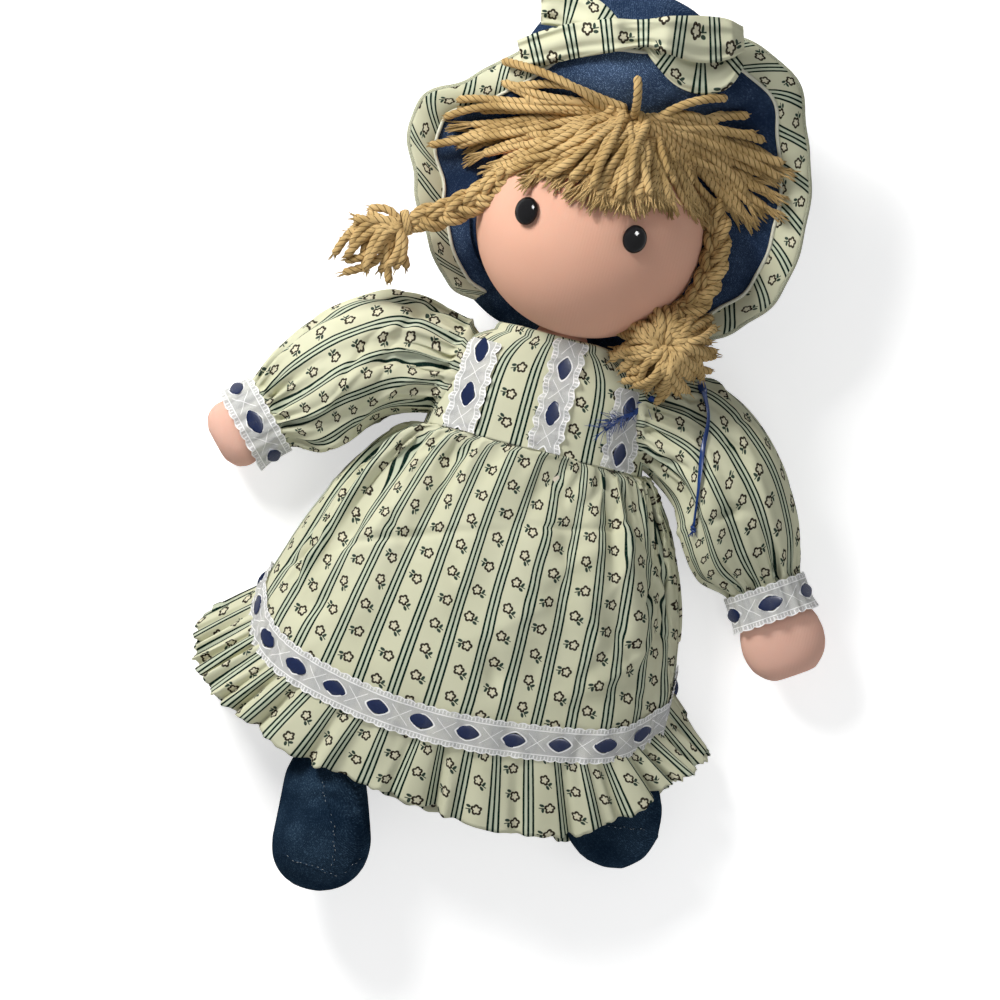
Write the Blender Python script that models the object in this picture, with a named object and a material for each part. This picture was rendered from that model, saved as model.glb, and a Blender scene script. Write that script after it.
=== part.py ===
"""A stuffed rag doll in a printed dress and denim bonnet, lying on its back.

+Y runs towards the top of the head, +X towards the doll's left hand and +Z out of its chest.
The origin is on the flat of the bodice's back, where the doll rests. Lengths are in metres.
"""

import math

import bmesh
import bpy
from mathutils import Matrix, Vector

# Clearances and cloth
GAP = 0.0003
SOFT_GAP = 0.0006
CLOTH = 0.0014
DENIM = 0.0020
LACE = 0.0008
RIBBON = 0.0006
FLAT_DEPTH = 0.0005
TORSO_INSET = 2 * CLOTH + GAP
SHOULDER_INSET_SHARE = 0.8

# Places of the joints and seams along the body
WAIST_Y = -0.012
SHOULDER_Y = 0.008
SHOULDER_Z = 0.031
NECK_Y = 0.040
NECK_Z = 0.047
NECK_RADIUS = 0.014
SEAT_Y = -0.080
HEAD_CENTRE = Vector((0, 0.098, 0.058))

# Torso and bodice
BODICE_HALF_WIDTH = 0.054
BODICE_HALF_DEPTH = 0.0315
BODICE_POWER = 2.3
BODICE_LENGTH = NECK_Y - WAIST_Y
TORSO_LENGTH = WAIST_Y - SEAT_Y
# From the waist up: share of the length, of the half width, of the half depth, and the middle's lift
BODICE_SHARES = (
    (0.00, 1.00, 1.00, 0.00),
    (0.20, 0.98, 1.00, 0.00),
    (0.42, 0.97, 1.00, 0.00),
    (0.62, 0.94, 0.95, 0.01),
    (0.78, 0.87, 0.87, 0.07),
    (0.92, 0.73, 0.68, 0.27),
    (1.00, 0.60, 0.54, 0.42),
)
# From the waist down to the seat
TORSO_SHARES = (
    (0.20, 0.96, 0.97, 0.00),
    (0.48, 0.93, 0.95, 0.00),
    (0.74, 0.88, 0.92, 0.00),
    (0.90, 0.74, 0.80, 0.00),
    (1.00, 0.50, 0.55, 0.00),
)
BODY_SIDES = 36

# Skirt, its lace seam and its hem, drawn as flattened fans
SKIRT_CENTRE_X = -0.0085
SKIRT_HALF_WIDTH = 0.1025
SKIRT_SIDE_DROP = 0.097
SKIRT_FRONT_DROP = 0.050
SKIRT_FRONT_HEIGHT = 0.060
SKIRT_BELLY = 0.004
RUFFLE_FLARE = 0.0245
RUFFLE_SIDE_WIDTH = 0.020
RUFFLE_FRONT_WIDTH = 0.013
HEM_HALF_WIDTH = SKIRT_HALF_WIDTH + RUFFLE_FLARE
HEM_SIDE_DROP = SKIRT_SIDE_DROP + RUFFLE_SIDE_WIDTH
HEM_FRONT_DROP = SKIRT_FRONT_DROP + RUFFLE_FRONT_WIDTH
HEM_FRONT_HEIGHT = 0.052
HEM_TILT_SHARE = 0.07
HEM_CORNER_SHARE = 0.6
HEM_CORNER_START_SHARE = 0.6
FAN_POWER_SHARE = 0.6
ARCH_POWER_SHARE = 0.68
SIDE_CROWDING_SHARE = 0.6
SKIRT_EDGE_HEIGHT = 0.008
SKIRT_FOLD = 0.0022
SKIRT_FOLDS = 12
RUFFLE_FOLD = 0.0034
RUFFLE_FOLDS = 22
SKIRT_SIDES = 64
SKIRT_ROW_SHARES = (0.0, 0.04, 0.13, 0.32, 0.60, 1.0)
SKIRT_EASE_SHARE = 0.60
RUFFLE_SIDES = 88
LACE_START_SHARE = 0.90
LACE_END_SHARE = 0.985
RUFFLE_START_SHARE = 0.05
SKIRT_BACK_Z = 0.0046

# Lace strips of the bodice
STRIP_WIDTH = 0.013
STRIP_OFFSET_SHARE = 0.63
STRIP_TILT = 0.002
STRIP_TOP_SHARE = 0.30
STRIP_END_SHARE = 0.03

# Ribbon in the lace: its width where it shows, and how often it shows
OVAL_WIDTH = 0.0056
RIBBON_NECK_SHARE = 0.2
SKIRT_WINDOWS = 16
CUFF_WINDOWS = 5
STRIP_WINDOWS = 3
STRIP_SAMPLES = 4

# Arms and sleeves, along the middle of each sleeve from the armhole to the wrist
ARM_RADIUS = 0.013
WRIST_RADIUS = 0.0105
ARMHOLE_RADIUS = ARM_RADIUS + SOFT_GAP
SLEEVE_ROOT = 0.019
SLEEVE_PUFF = 0.035
SLEEVE_DEPTH = 0.0290
SLEEVE_SIDES = 24
SLEEVE_PLEAT = 0.0012
SLEEVE_PLEATS = 6
CUFF_HALF_WIDTH = 0.0190
CUFF_HALF_DEPTH = 0.0140
CUFF_LACE_WIDTH = 0.013
SLEEVE_REACH = {"left": Vector((0.0704, -0.0558)), "right": Vector((0.0725, -0.0345))}
WRIST_TURN = math.radians(18)
# Along the reach, across it, half width and half depth as shares of the puff
SLEEVE_SHARES = (
    (0.17, 0.220, 0.90, 0.96),
    (0.48, 0.190, 0.95, 1.00),
    (0.78, 0.075, 0.84, 0.82),
)
CUFF_LIFT = 0.006
CUFF_SIDES = 20
LACE_FLARE = 0.0015
HAND_OVERLAP_SHARE = 0.55
HAND_LENGTH = {"left": 0.0360, "right": 0.0230}
HAND_HALF_WIDTH = {"left": 0.0170, "right": 0.0165}
HAND_HALF_DEPTH = 0.0125
HAND_SHARES = ((0.0, 0.62, 0.70), (0.2, 0.86, 0.90), (0.5, 1.0, 1.0), (0.78, 0.86, 0.88), (0.94, 0.50, 0.52))

# Legs and boots
LEG_RADIUS = 0.0190
LEG_SPREAD = 0.0230
LEG_Z = 0.0266
BOOT_HALF_WIDTH = 0.0240
FOOT_REACH = 0.0320
# Along the reach from the ankle, then in boot half widths: height, half width and depth; then the turn upwards
BOOT_SHARES = {
    "left": (
        (0.00, 1.00, 0.81, 0.70, 0.0), (0.40, 0.92, 0.92, 0.62, 0.0), (0.80, 0.87, 1.00, 0.54, 0.0),
        (1.10, 0.84, 0.90, 0.50, 0.0), (1.38, 0.82, 0.62, 0.40, 0.0), (1.53, 0.82, 0.26, 0.22, 0.0),
    ),
    "right": (
        (0.00, 1.11, 0.81, 0.80, 0.0), (0.55, 1.20, 0.92, 0.95, 0.25), (0.95, 1.38, 1.00, 0.98, 0.62),
        (1.02, 1.80, 0.98, 0.85, 0.85), (0.98, 2.20, 0.72, 0.62, 0.93), (0.94, 2.38, 0.35, 0.30, 0.96),
    ),
}
LEG_SIDES = 24
KNEE_SHARE = 0.96
BOOT_TOP_SHARE = 0.30
KNEE = {"left": Vector((0.0500, -0.1260)), "right": Vector((-0.0440, -0.1450))}
ANKLE = {"left": Vector((0.0660, -0.1500)), "right": Vector((-0.0580, -0.1870))}
FOOT = {"left": Vector((0.0810, -0.1680)), "right": Vector((-0.0500, -0.2222))}

# Head, eyes and washers
HEAD_HALF = Vector((0.055, 0.053, 0.050))
EYE_SPACING = 0.0526
EYE_SHIFT = -0.0047
EYE_DROP = 0.001
EYE_HALF_WIDTH = 0.0060
EYE_HALF_HEIGHT = 0.0068
EYE_DOME = 0.0050
STEM_RADIUS = 0.0020
STEM_LENGTH = 0.0120
WASHER_RADIUS = 0.0060
WASHER_THICKNESS = 0.0020
POCKET_DEPTH = 0.0090
EYE_SIDES = 16

# Bonnet
CROWN_SIDE_REACH = 0.0610
CROWN_TOP_REACH = 0.1180
CROWN_NAPE_REACH = 0.0555
CROWN_RISE_SHARE = 2.6
RIM_SIDE_Z = 0.046
RIM_TOP_Z = 0.074
RIM_NAPE_Z = 0.024
CROWN_SIDES = 40
CROWN_PLEAT = 0.0016
CROWN_PLEATS = 14
BRIM_WIDTH = 0.042
BRIM_EDGE_Z = 0.052
BRIM_END_Z = 0.034
BRIM_TOP_Z = 0.078
BRIM_ARCH = 0.016
BRIM_DISH = 0.003
BRIM_LIFT = 0.0015
BORDER_GAP = 0.0014
BORDER_WIDTH = 0.0150
BRIM_STEPS = 36
# Angle round the head in degrees, and the reach of the brim's edge past the head in brim widths
BRIM_SHARES = (
    (-31, 0.52), (-20, 0.72), (-6, 0.97), (11, 1.10), (27, 1.25), (39, 1.37), (49, 1.58), (61, 1.50),
    (74, 1.28), (90, 1.06), (108, 1.00), (129, 0.82), (145, 0.86), (156, 1.12), (165, 1.05),
    (179, 0.74), (199, 0.52), (219, 0.40),
)

# From the rim round the puff to the back: share of the way out or of the reach, and share of the rim's height
CROWN_SHARES = ((0.0, 1.0), (0.72, 0.84), (1.0, 0.56), (0.88, 0.24), (0.54, 0.06), (0.26, 0.0))
BORDER_MOST_SHARE = 0.50

# Bow: along each loop or tail from the knot, half width and half depth
BOW_HALF_LENGTH = 0.050
BOW_HALF_WIDTH = 0.0125
BOW_HALF_DEPTH = 0.0050
BOW_LIFT = 0.0004
BOW_LOOP_LIFT = 0.0036
TAIL_LIFT = {"left": 0.0004, "right": -0.0004}
KNOT_MEET_SHARE = 1.03
BOW_SHARES = ((0.0, 0.40, 0.75), (0.3, 0.80, 1.1), (0.65, 1.0, 1.2), (0.9, 0.98, 0.9), (1.0, 0.80, 0.45))
TAIL_SHARES = ((0.0, 0.55, 0.40), (0.35, 0.80, 0.40), (0.7, 1.0, 0.40), (1.0, 1.05, 0.40))
BOW_ANGLE = {"left": math.radians(14), "right": math.radians(206)}
TAIL_ANGLE = {"left": math.radians(-20), "right": math.radians(166)}
TAIL_START = 0.0080
TAIL_LENGTH = {"left": 0.0360, "right": 0.0440}
BOW_KNOT = Vector((0.0010, 0.0930))
KNOT_RADIUS = 0.0066

# Blue ribbon: plan routes in metres, a long end on the left sleeve and a frayed end on the bodice
CORD_RADIUS = 0.0010
CORD_LIFT = 0.0005
CORD_STEP = 0.0026
LONG_END_ROUTE = ((0.0700, 0.0400), (0.0775, 0.0250), (0.0790, 0.0080), (0.0815, -0.0100), (0.0840, -0.0280))
FRAYED_END_ROUTE = ((0.0500, 0.0270), (0.0440, 0.0190), (0.0370, 0.0130), (0.0310, 0.0060))
RIBBON_KNOT_HALF = Vector((0.0017, 0.0026, 0.0015))

# Hair
FRINGE_ROOT = Vector((0.0070, 0.0660))
FRINGE_THICKNESS = 0.0085
# Direction from the root in degrees, and the length of the locks in head half widths
FRINGE_SHARES = (
    (-6, 1.36), (-14, 1.40), (-26, 1.36), (-40, 1.28), (-55, 1.22), (-72, 1.12), (-90, 1.08),
    (-106, 1.12), (-122, 1.22), (-138, 1.30), (-150, 1.48), (-158, 1.62), (-166, 1.50), (-174, 1.20),
)
FRINGE_LIFT = 0.0018
FRINGE_STEPS_SHARES = (0.08, 0.3, 0.5, 0.7, 0.86, 1.0)
BRAID_RADIUS = 0.0075
BRAID_TAPER_SHARES = (0.9, 1.15, 1.0, 0.8)
# Plan route of each braid from the temple to its tie, from the head's centre
BRAID_PATH = {
    "left": ((0.0560, 0.0120), (0.0605, -0.0060), (0.0590, -0.0200), (0.0530, -0.0290)),
    "right": ((-0.0570, 0.0040), (-0.0660, -0.0060), (-0.0760, -0.0120), (-0.0840, -0.0180)),
}
TIE_LENGTH = 0.0030
TASSEL_LENGTH = {"left": 0.0360, "right": 0.0300}
TASSEL_HALF_WIDTH = {"left": 0.0230, "right": 0.0130}
TASSEL_LIFT = {"left": 0.0060, "right": -0.0010}
TASSEL_SHARES = ((0.0, 0.26, 0.7), (0.25, 0.8, 1.0), (0.55, 1.0, 1.05), (0.85, 0.75, 0.9), (1.0, 0.35, 0.5))
BRAID_Z = 0.067
TIE_RADIUS = 0.0062
TASSEL_HALF_DEPTH = 0.0080

COLOURS = {
    "print_cotton": ((0.72, 0.74, 0.60), 0.85),
    "denim": ((0.030, 0.060, 0.150), 0.85),
    "face_knit": ((0.86, 0.58, 0.47), 0.80),
    "muslin": ((0.78, 0.70, 0.60), 0.85),
    "lace": ((0.88, 0.88, 0.90), 0.70),
    "navy_satin": ((0.012, 0.020, 0.110), 0.35),
    "blue_satin": ((0.015, 0.050, 0.260), 0.35),
    "yarn": ((0.42, 0.28, 0.11), 0.95),
    "black_gloss": ((0.008, 0.008, 0.009), 0.12),
    "washer_plastic": ((0.70, 0.70, 0.68), 0.45),
}


def material(slot):
    """The Principled material of one slot, made once."""
    found = bpy.data.materials.get(slot)
    if found:
        return found
    colour, roughness = COLOURS[slot]
    made = bpy.data.materials.new(slot)
    made.use_nodes = True
    shader = made.node_tree.nodes["Principled BSDF"]
    shader.inputs["Base Color"].default_value = (*colour, 1)
    shader.inputs["Roughness"].default_value = roughness
    shader.inputs["Metallic"].default_value = 0
    return made


def add_object(name, points, faces, slot):
    """A smooth-shaded object from points and faces, with its normals facing out."""
    mesh = bpy.data.meshes.new(name)
    mesh.from_pydata([tuple(p) for p in points], [], faces)
    shape = bmesh.new()
    shape.from_mesh(mesh)
    bmesh.ops.recalc_face_normals(shape, faces=shape.faces)
    shape.to_mesh(mesh)
    shape.free()
    mesh.shade_smooth()
    made = bpy.data.objects.new(name, mesh)
    made.data.materials.append(material(slot))
    bpy.context.scene.collection.objects.link(made)
    return made


def smooth_track(stations, steps):
    """Points of a smooth curve through the stations, steps to a span."""
    ends = [[2 * a - b for a, b in zip(stations[0], stations[1])]]
    tail = [[2 * a - b for a, b in zip(stations[-1], stations[-2])]]
    knots = ends + [list(s) for s in stations] + tail
    track = []
    for i in range(1, len(knots) - 2):
        for k in range(steps):
            t = k / steps
            track.append([
                0.5 * (2 * b + (c - a) * t + (2 * a - 5 * b + 4 * c - d) * t**2 + (3 * b - a - 3 * c + d) * t**3)
                for a, b, c, d in zip(*knots[i - 1:i + 3])
            ])
    track.append(list(stations[-1]))
    return track


def oval(angle, half_width, half_depth, power=2.0):
    """A point of a superellipse, in its own plane."""
    c, s = math.cos(angle), math.sin(angle)
    return (
        half_width * math.copysign(abs(c) ** (2 / power), c),
        half_depth * math.copysign(abs(s) ** (2 / power), s),
    )


def on_floor(point):
    """The point, raised to the floor if it lies below it."""
    return Vector((point.x, point.y, max(point.z, 0)))


def tube_rings(track, sides, directions=None, pleat=None):
    """Rings of a track of x, y, z, half width and half depth, square to it or to the directions given."""
    rings = []
    for i, station in enumerate(track):
        centre = Vector(station[:3])
        before = Vector(track[max(i - 1, 0)][:3])
        after = Vector(track[min(i + 1, len(track) - 1)][:3])
        along = directions[i] if directions else (after - before).normalized()
        across = along.cross(Vector((0, 0, 1))).normalized()
        up = across.cross(along).normalized()
        ring = []
        for k in range(sides):
            angle = 2 * math.pi * k / sides
            w, d = oval(angle, station[3], station[4])
            if pleat:
                ripple = 1 + pleat(i / (len(track) - 1), angle) / station[3]
                w, d = w * ripple, d * ripple
            ring.append(centre + across * w + up * d)
        rings.append(ring)
    return rings


def turning(start, end, count, bend=1.0):
    """Directions that turn evenly from start to end over the rings of a track."""
    return [(start * (1 - w) + end * w).normalized() for w in ((k / (count - 1)) ** bend for k in range(count))]


def solid_from_rings(name, rings, slot, floor=False):
    """A closed solid through the rings, with a flat cap at each end."""
    sides = len(rings[0])
    points = [on_floor(p) if floor else p for ring in rings for p in ring]
    faces = [
        (a * sides + k, a * sides + (k + 1) % sides, (a + 1) * sides + (k + 1) % sides, (a + 1) * sides + k)
        for a in range(len(rings) - 1)
        for k in range(sides)
    ]
    faces += [tuple(range(sides)), tuple((len(rings) - 1) * sides + k for k in range(sides))]
    return add_object(name, points, faces, slot)


def cloth_from_rows(name, rows, slot, thickness, closed=True, inward=True):
    """A sheet through rows of points, thickened on its inner side by Solidify."""
    count = len(rows[0])
    spans = count if closed else count - 1
    faces = [
        (a * count + k, a * count + (k + 1) % count, (a + 1) * count + (k + 1) % count, (a + 1) * count + k)
        for a in range(len(rows) - 1)
        for k in range(spans)
    ]
    made = add_object(name, [p for row in rows for p in row], faces, slot)
    middle = sum((v.co for v in made.data.vertices), Vector()) / len(made.data.vertices)
    if sum(f.normal.dot(f.center - middle) for f in made.data.polygons) < 0:
        made.data.flip_normals()
    wall = made.modifiers.new("cloth", "SOLIDIFY")
    wall.thickness = thickness
    wall.offset = -1 if inward else 1
    return made


def normal_of(surface, u, v, step=0.006):
    """The outward normal of a surface function, by small differences."""
    along = surface(u + step, v) - surface(u - step, v)
    down = surface(u, v + step) - surface(u, v - step)
    return along.cross(down).normalized()


def trim_rows(surface, us, vs, lift, facing):
    """Rows of a trim that lies on a surface function, lifted off it on the side that faces out."""
    rows = []
    for row in vs:
        points = []
        for u, v in zip(us, row):
            out = normal_of(surface, u, v)
            sign = 1 if out.dot(surface(u, v) - facing) > 0 else -1
            points.append(surface(u, v) + out * sign * lift)
        rows.append(points)
    return rows


def window_widths(count, samples):
    """Half widths of a ribbon, as shares: wide where it shows in the lace, narrow where it goes through."""
    return [RIBBON_NECK_SHARE + (1 - RIBBON_NECK_SHARE) * math.sin(math.pi * (k % samples) / samples) ** 0.5
            for k in range(count)]


def ellipsoid(name, centre, half, slot, segments=32, rings=18):
    """A closed ellipsoid."""
    shape = bmesh.new()
    bmesh.ops.create_uvsphere(shape, u_segments=segments, v_segments=rings, radius=1)
    for vert in shape.verts:
        vert.co = Vector((vert.co.x * half[0], vert.co.y * half[1], vert.co.z * half[2])) + Vector(centre)
    mesh = bpy.data.meshes.new(name)
    shape.to_mesh(mesh)
    shape.free()
    mesh.shade_smooth()
    made = bpy.data.objects.new(name, mesh)
    made.data.materials.append(material(slot))
    bpy.context.scene.collection.objects.link(made)
    return made


def cut(target, cutter, operation="DIFFERENCE"):
    """Cut one object by another, which stays as a hidden guide."""
    step = target.modifiers.new("cut", "BOOLEAN")
    step.object = cutter
    step.operation = operation
    step.solver = "EXACT"
    cutter.hide_render = True
    cutter.display_type = "WIRE"


def round_pin(name, start, end, radius, slot, sides=20):
    """A closed cylinder between two points."""
    along = (end - start).normalized()
    across = along.orthogonal().normalized()
    up = along.cross(across)
    rings = [
        [
            centre + across * radius * math.cos(2 * math.pi * k / sides)
            + up * radius * math.sin(2 * math.pi * k / sides)
            for k in range(sides)
        ]
        for centre in (start, end)
    ]
    return solid_from_rings(name, rings, slot)


def body_ring(y, width, depth, lift, inset, sides=BODY_SIDES):
    """One cross-section of the body, inset from the bodice's outside, resting on the floor."""
    middle = BODICE_HALF_DEPTH - FLAT_DEPTH + lift * BODICE_HALF_DEPTH
    ring = []
    for k in range(sides):
        x, z = oval(2 * math.pi * k / sides, BODICE_HALF_WIDTH * width - inset,
                    BODICE_HALF_DEPTH * depth - inset, BODICE_POWER)
        ring.append(on_floor(Vector((x, y, middle + z))))
    return ring


def bodice_rows(inset=0, steps=1):
    """Rows of the bodice from the neck down to the waist."""
    track = smooth_track(BODICE_SHARES, steps)
    return [
        body_ring(WAIST_Y + BODICE_LENGTH * s, w, d, lift, inset * (1 + SHOULDER_INSET_SHARE * s))
        for s, w, d, lift in reversed(track)
    ]


def bodice_front(u, v):
    """A point on the bodice's front: u across in metres, v from the neck to the waist."""
    track = BODICE_SHARES
    place = (1 - v) * (len(track) - 1)
    low = min(int(place), len(track) - 2)
    share, width, depth, lift = (
        a + (b - a) * (place - low) for a, b in zip(track[low], track[low + 1])
    )
    across = min(abs(u) / (BODICE_HALF_WIDTH * width), 1)
    height = BODICE_HALF_DEPTH * depth * (1 - across**BODICE_POWER) ** (1 / BODICE_POWER)
    middle = BODICE_HALF_DEPTH - FLAT_DEPTH + lift * BODICE_HALF_DEPTH
    return Vector((u, WAIST_Y + BODICE_LENGTH * share, middle + height))


def make_body():
    """The stuffed torso, the neck, and the bodice round the torso."""
    inset = TORSO_INSET
    upper = bodice_rows(inset)[1:]
    lower = [
        body_ring(WAIST_Y - TORSO_LENGTH * s, w, d, lift, inset)
        for s, w, d, lift in TORSO_SHARES
    ]
    torso = solid_from_rings("torso", upper + lower, "muslin")
    bodice = cloth_from_rows("bodice", bodice_rows(), "print_cotton", CLOTH)
    armhole = round_pin(
        "armhole_cutter",
        Vector((-2 * BODICE_HALF_WIDTH, SHOULDER_Y, SHOULDER_Z)),
        Vector((2 * BODICE_HALF_WIDTH, SHOULDER_Y, SHOULDER_Z)),
        ARMHOLE_RADIUS, "muslin",
    )
    cut(bodice, armhole)
    neck_centre = Vector((0, NECK_Y, NECK_Z))
    neck = ellipsoid("neck", neck_centre, [NECK_RADIUS] * 3, "face_knit", 18, 10)
    socket = ellipsoid("neck_cutter", neck_centre, [NECK_RADIUS + GAP] * 3, "face_knit", 18, 10)
    cut(torso, socket)
    cut(bodice, socket)
    return socket


def make_head(socket):
    """The ball head with its eyes, their stems and the washers inside."""
    head = ellipsoid("head", HEAD_CENTRE, HEAD_HALF, "face_knit", 28, 16)
    cut(head, socket)
    for side, sign in (("left", 1), ("right", -1)):
        x = EYE_SHIFT + sign * EYE_SPACING / 2
        height = HEAD_HALF.z * math.sqrt(1 - (x / HEAD_HALF.x) ** 2 - (EYE_DROP / HEAD_HALF.y) ** 2)
        seat = HEAD_CENTRE + Vector((x, -EYE_DROP, height))
        out = Vector((x / HEAD_HALF.x**2, -EYE_DROP / HEAD_HALF.y**2, height / HEAD_HALF.z**2)).normalized()
        washer_top = seat - out * POCKET_DEPTH
        washer_end = washer_top - out * WASHER_THICKNESS
        make_eye(side, seat, out)
        washer = round_pin("eye_washer_" + side, washer_top, washer_end, WASHER_RADIUS, "washer_plastic")
        bore = round_pin("washer_bore_" + side, washer_top + out * GAP, washer_end - out * GAP,
                         STEM_RADIUS + GAP, "washer_plastic", 12)
        cut(washer, bore)
        pocket = round_pin("pocket_" + side, washer_top + out * GAP, washer_end - out * (STEM_LENGTH - POCKET_DEPTH),
                           WASHER_RADIUS + GAP, "washer_plastic")
        stem_way = round_pin("stem_way_" + side, seat + out * EYE_DOME, washer_end,
                             STEM_RADIUS + GAP, "washer_plastic", 12)
        cut(head, pocket)
        cut(head, stem_way)


def make_eye(side, seat, out):
    """One domed eye with its stem, as a turned profile."""
    across = Vector((1, 0, 0)) - out * out.x
    across.normalize()
    up = out.cross(across)
    profile = [(0.02, 1.0), (0.45, 0.90), (0.76, 0.66), (0.93, 0.36), (1.0, 0.08)]
    rings = []
    base = seat + out * SOFT_GAP
    for share, lift in profile:
        rings.append([
            base + across * EYE_HALF_WIDTH * share * math.cos(a) + up * EYE_HALF_HEIGHT * share * math.sin(a)
            + out * EYE_DOME * lift
            for a in (2 * math.pi * k / EYE_SIDES for k in range(EYE_SIDES))
        ])
    for radius, depth in ((STEM_RADIUS, 0), (STEM_RADIUS, STEM_LENGTH)):
        rings.append([
            base + (across * math.cos(a) + up * math.sin(a)) * radius - out * depth
            for a in (2 * math.pi * k / EYE_SIDES for k in range(EYE_SIDES))
        ])
    solid_from_rings("eye_" + side, rings, "black_gloss")


def skirt_angle(u):
    """The angle round the skirt, with more of the points near its two sides."""
    return 2 * math.pi * u - SIDE_CROWDING_SHARE * math.sin(4 * math.pi * u) / 2


def skirt_point(u, v, lift=0):
    """A point of the skirt's outside, or lifted off it: u once round from the doll's left, v down from the waist."""
    angle = skirt_angle(u)
    c, s = math.cos(angle), math.sin(angle)
    fan = abs(s) ** FAN_POWER_SHARE
    x_top, z_top = oval(angle, BODICE_HALF_WIDTH, BODICE_HALF_DEPTH, BODICE_POWER)
    top = Vector((x_top, WAIST_Y - GAP, max(BODICE_HALF_DEPTH - FLAT_DEPTH + z_top, GAP)))
    low_y = WAIST_Y - SKIRT_SIDE_DROP - SKIRT_FRONT_DROP * fan
    arch = abs(s) ** ARCH_POWER_SHARE
    low_z = SKIRT_EDGE_HEIGHT + (SKIRT_FRONT_HEIGHT - SKIRT_EDGE_HEIGHT) * arch
    if s < 0:
        low_z = SKIRT_EDGE_HEIGHT + (SKIRT_BACK_Z - SKIRT_EDGE_HEIGHT) * min(1, 4 * arch)
    low = Vector((SKIRT_CENTRE_X + SKIRT_HALF_WIDTH * c, low_y, low_z))
    ease = v**SKIRT_EASE_SHARE
    point = top.lerp(low, v)
    point.x = top.x + (low.x - top.x) * ease
    if s > 0:
        point.z += SKIRT_BELLY * math.sin(math.pi * v) * s
        point.z += SKIRT_FOLD * v * math.sin(SKIRT_FOLDS * angle) * min(1, 2 * s)
    point.x += lift * c
    point.z += lift * (min(1, 3 * s) if s > 0 else max(-1, 16 * s))
    point.z = max(point.z, GAP)
    return point


def ruffle_point(u, v):
    """A point of the ruffle's outside: v from the lace seam to the hem."""
    angle = skirt_angle(u)
    c, s = math.cos(angle), math.sin(angle)
    top = skirt_point(u, 1)
    corner = max(0, c - HEM_CORNER_START_SHARE) / (1 - HEM_CORNER_START_SHARE)
    fan = abs(s) ** FAN_POWER_SHARE * (1 - HEM_CORNER_SHARE * corner)
    arch = abs(s) ** ARCH_POWER_SHARE
    x = SKIRT_CENTRE_X + HEM_HALF_WIDTH * c
    y = WAIST_Y - HEM_SIDE_DROP - HEM_FRONT_DROP * fan - HEM_TILT_SHARE * HEM_HALF_WIDTH * c * fan
    z = SKIRT_EDGE_HEIGHT + (HEM_FRONT_HEIGHT - SKIRT_EDGE_HEIGHT) * arch
    if s < 0:
        z = SKIRT_EDGE_HEIGHT + (SKIRT_BACK_Z - SKIRT_EDGE_HEIGHT) * min(1, 4 * arch)
    point = top.lerp(Vector((x, y, z)), v)
    if s > 0:
        point.z += RUFFLE_FOLD * v * math.sin(RUFFLE_FOLDS * angle) * min(1, 3 * s)
    point.z = max(point.z, GAP)
    return point


def shifted_down(point):
    """A point moved one gap towards the feet."""
    return Vector((point.x, point.y - SOFT_GAP, point.z))


def make_skirt():
    """The skirt, its ruffle, the lace band over their seam and the ribbon in it."""
    rows = [
        [skirt_point(k / SKIRT_SIDES, v) for k in range(SKIRT_SIDES)]
        for v in SKIRT_ROW_SHARES
    ]
    cloth_from_rows("skirt", rows, "print_cotton", CLOTH)
    rows = [
        [shifted_down(ruffle_point(k / RUFFLE_SIDES, v)) for k in range(RUFFLE_SIDES)]
        for v in (RUFFLE_START_SHARE, 0.5, 1.0)
    ]
    cloth_from_rows("hem_ruffle", rows, "print_cotton", CLOTH)

    middle = (LACE_END_SHARE + LACE_START_SHARE) / 2
    count = SKIRT_SIDES
    rows = [[skirt_point(k / count, v, 2 * SOFT_GAP) for k in range(count)] for v in (LACE_START_SHARE, LACE_END_SHARE)]
    cloth_from_rows("skirt_lace", rows, "lace", LACE, inward=False)
    share = OVAL_WIDTH / 2 / (SKIRT_SIDE_DROP + SKIRT_FRONT_DROP)
    half = [w * share for w in window_widths(count, count // SKIRT_WINDOWS)]
    lift = 4 * SOFT_GAP + LACE
    rows = [[skirt_point(k / count, middle + sign * half[k], lift) for k in range(count)] for sign in (-1, 1)]
    cloth_from_rows("skirt_ribbon", rows, "navy_satin", RIBBON, inward=False)


def make_strips():
    """The three lace strips down the bodice's front, each with its ribbon."""
    offset_left = BODICE_HALF_WIDTH * STRIP_OFFSET_SHARE
    for name, offset, tilt, gap in (
        ("right", -offset_left, -STRIP_TILT, 2 * SOFT_GAP),
        ("centre", 0, 0, SOFT_GAP),
        ("left", offset_left, STRIP_TILT, 2 * SOFT_GAP),
    ):
        def strip_surface(u, v):
            return bodice_front(offset + tilt * (v - 0.5) * 2 + u, STRIP_TOP_SHARE + (1 - STRIP_TOP_SHARE) * v)

        count = STRIP_WINDOWS * STRIP_SAMPLES
        steps = [STRIP_END_SHARE + (1 - 2 * STRIP_END_SHARE) * k / count for k in range(count + 1)]
        inside = Vector((offset, SHOULDER_Y, 0))
        rows = [
            trim_rows(strip_surface, [u * STRIP_WIDTH] * len(steps), [steps], gap + LACE, inside)[0]
            for u in (-0.5, 0, 0.5)
        ]
        sheet("bodice_lace_" + name, rows, "lace", LACE)
        widths = window_widths(count + 1, STRIP_SAMPLES)
        rows = [
            trim_rows(strip_surface, [u * w * OVAL_WIDTH for w in widths], [steps],
                      gap + SOFT_GAP + LACE + RIBBON, inside)[0]
            for u in (-0.5, 0.5)
        ]
        sheet("bodice_ribbon_" + name, rows, "navy_satin", RIBBON)


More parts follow.
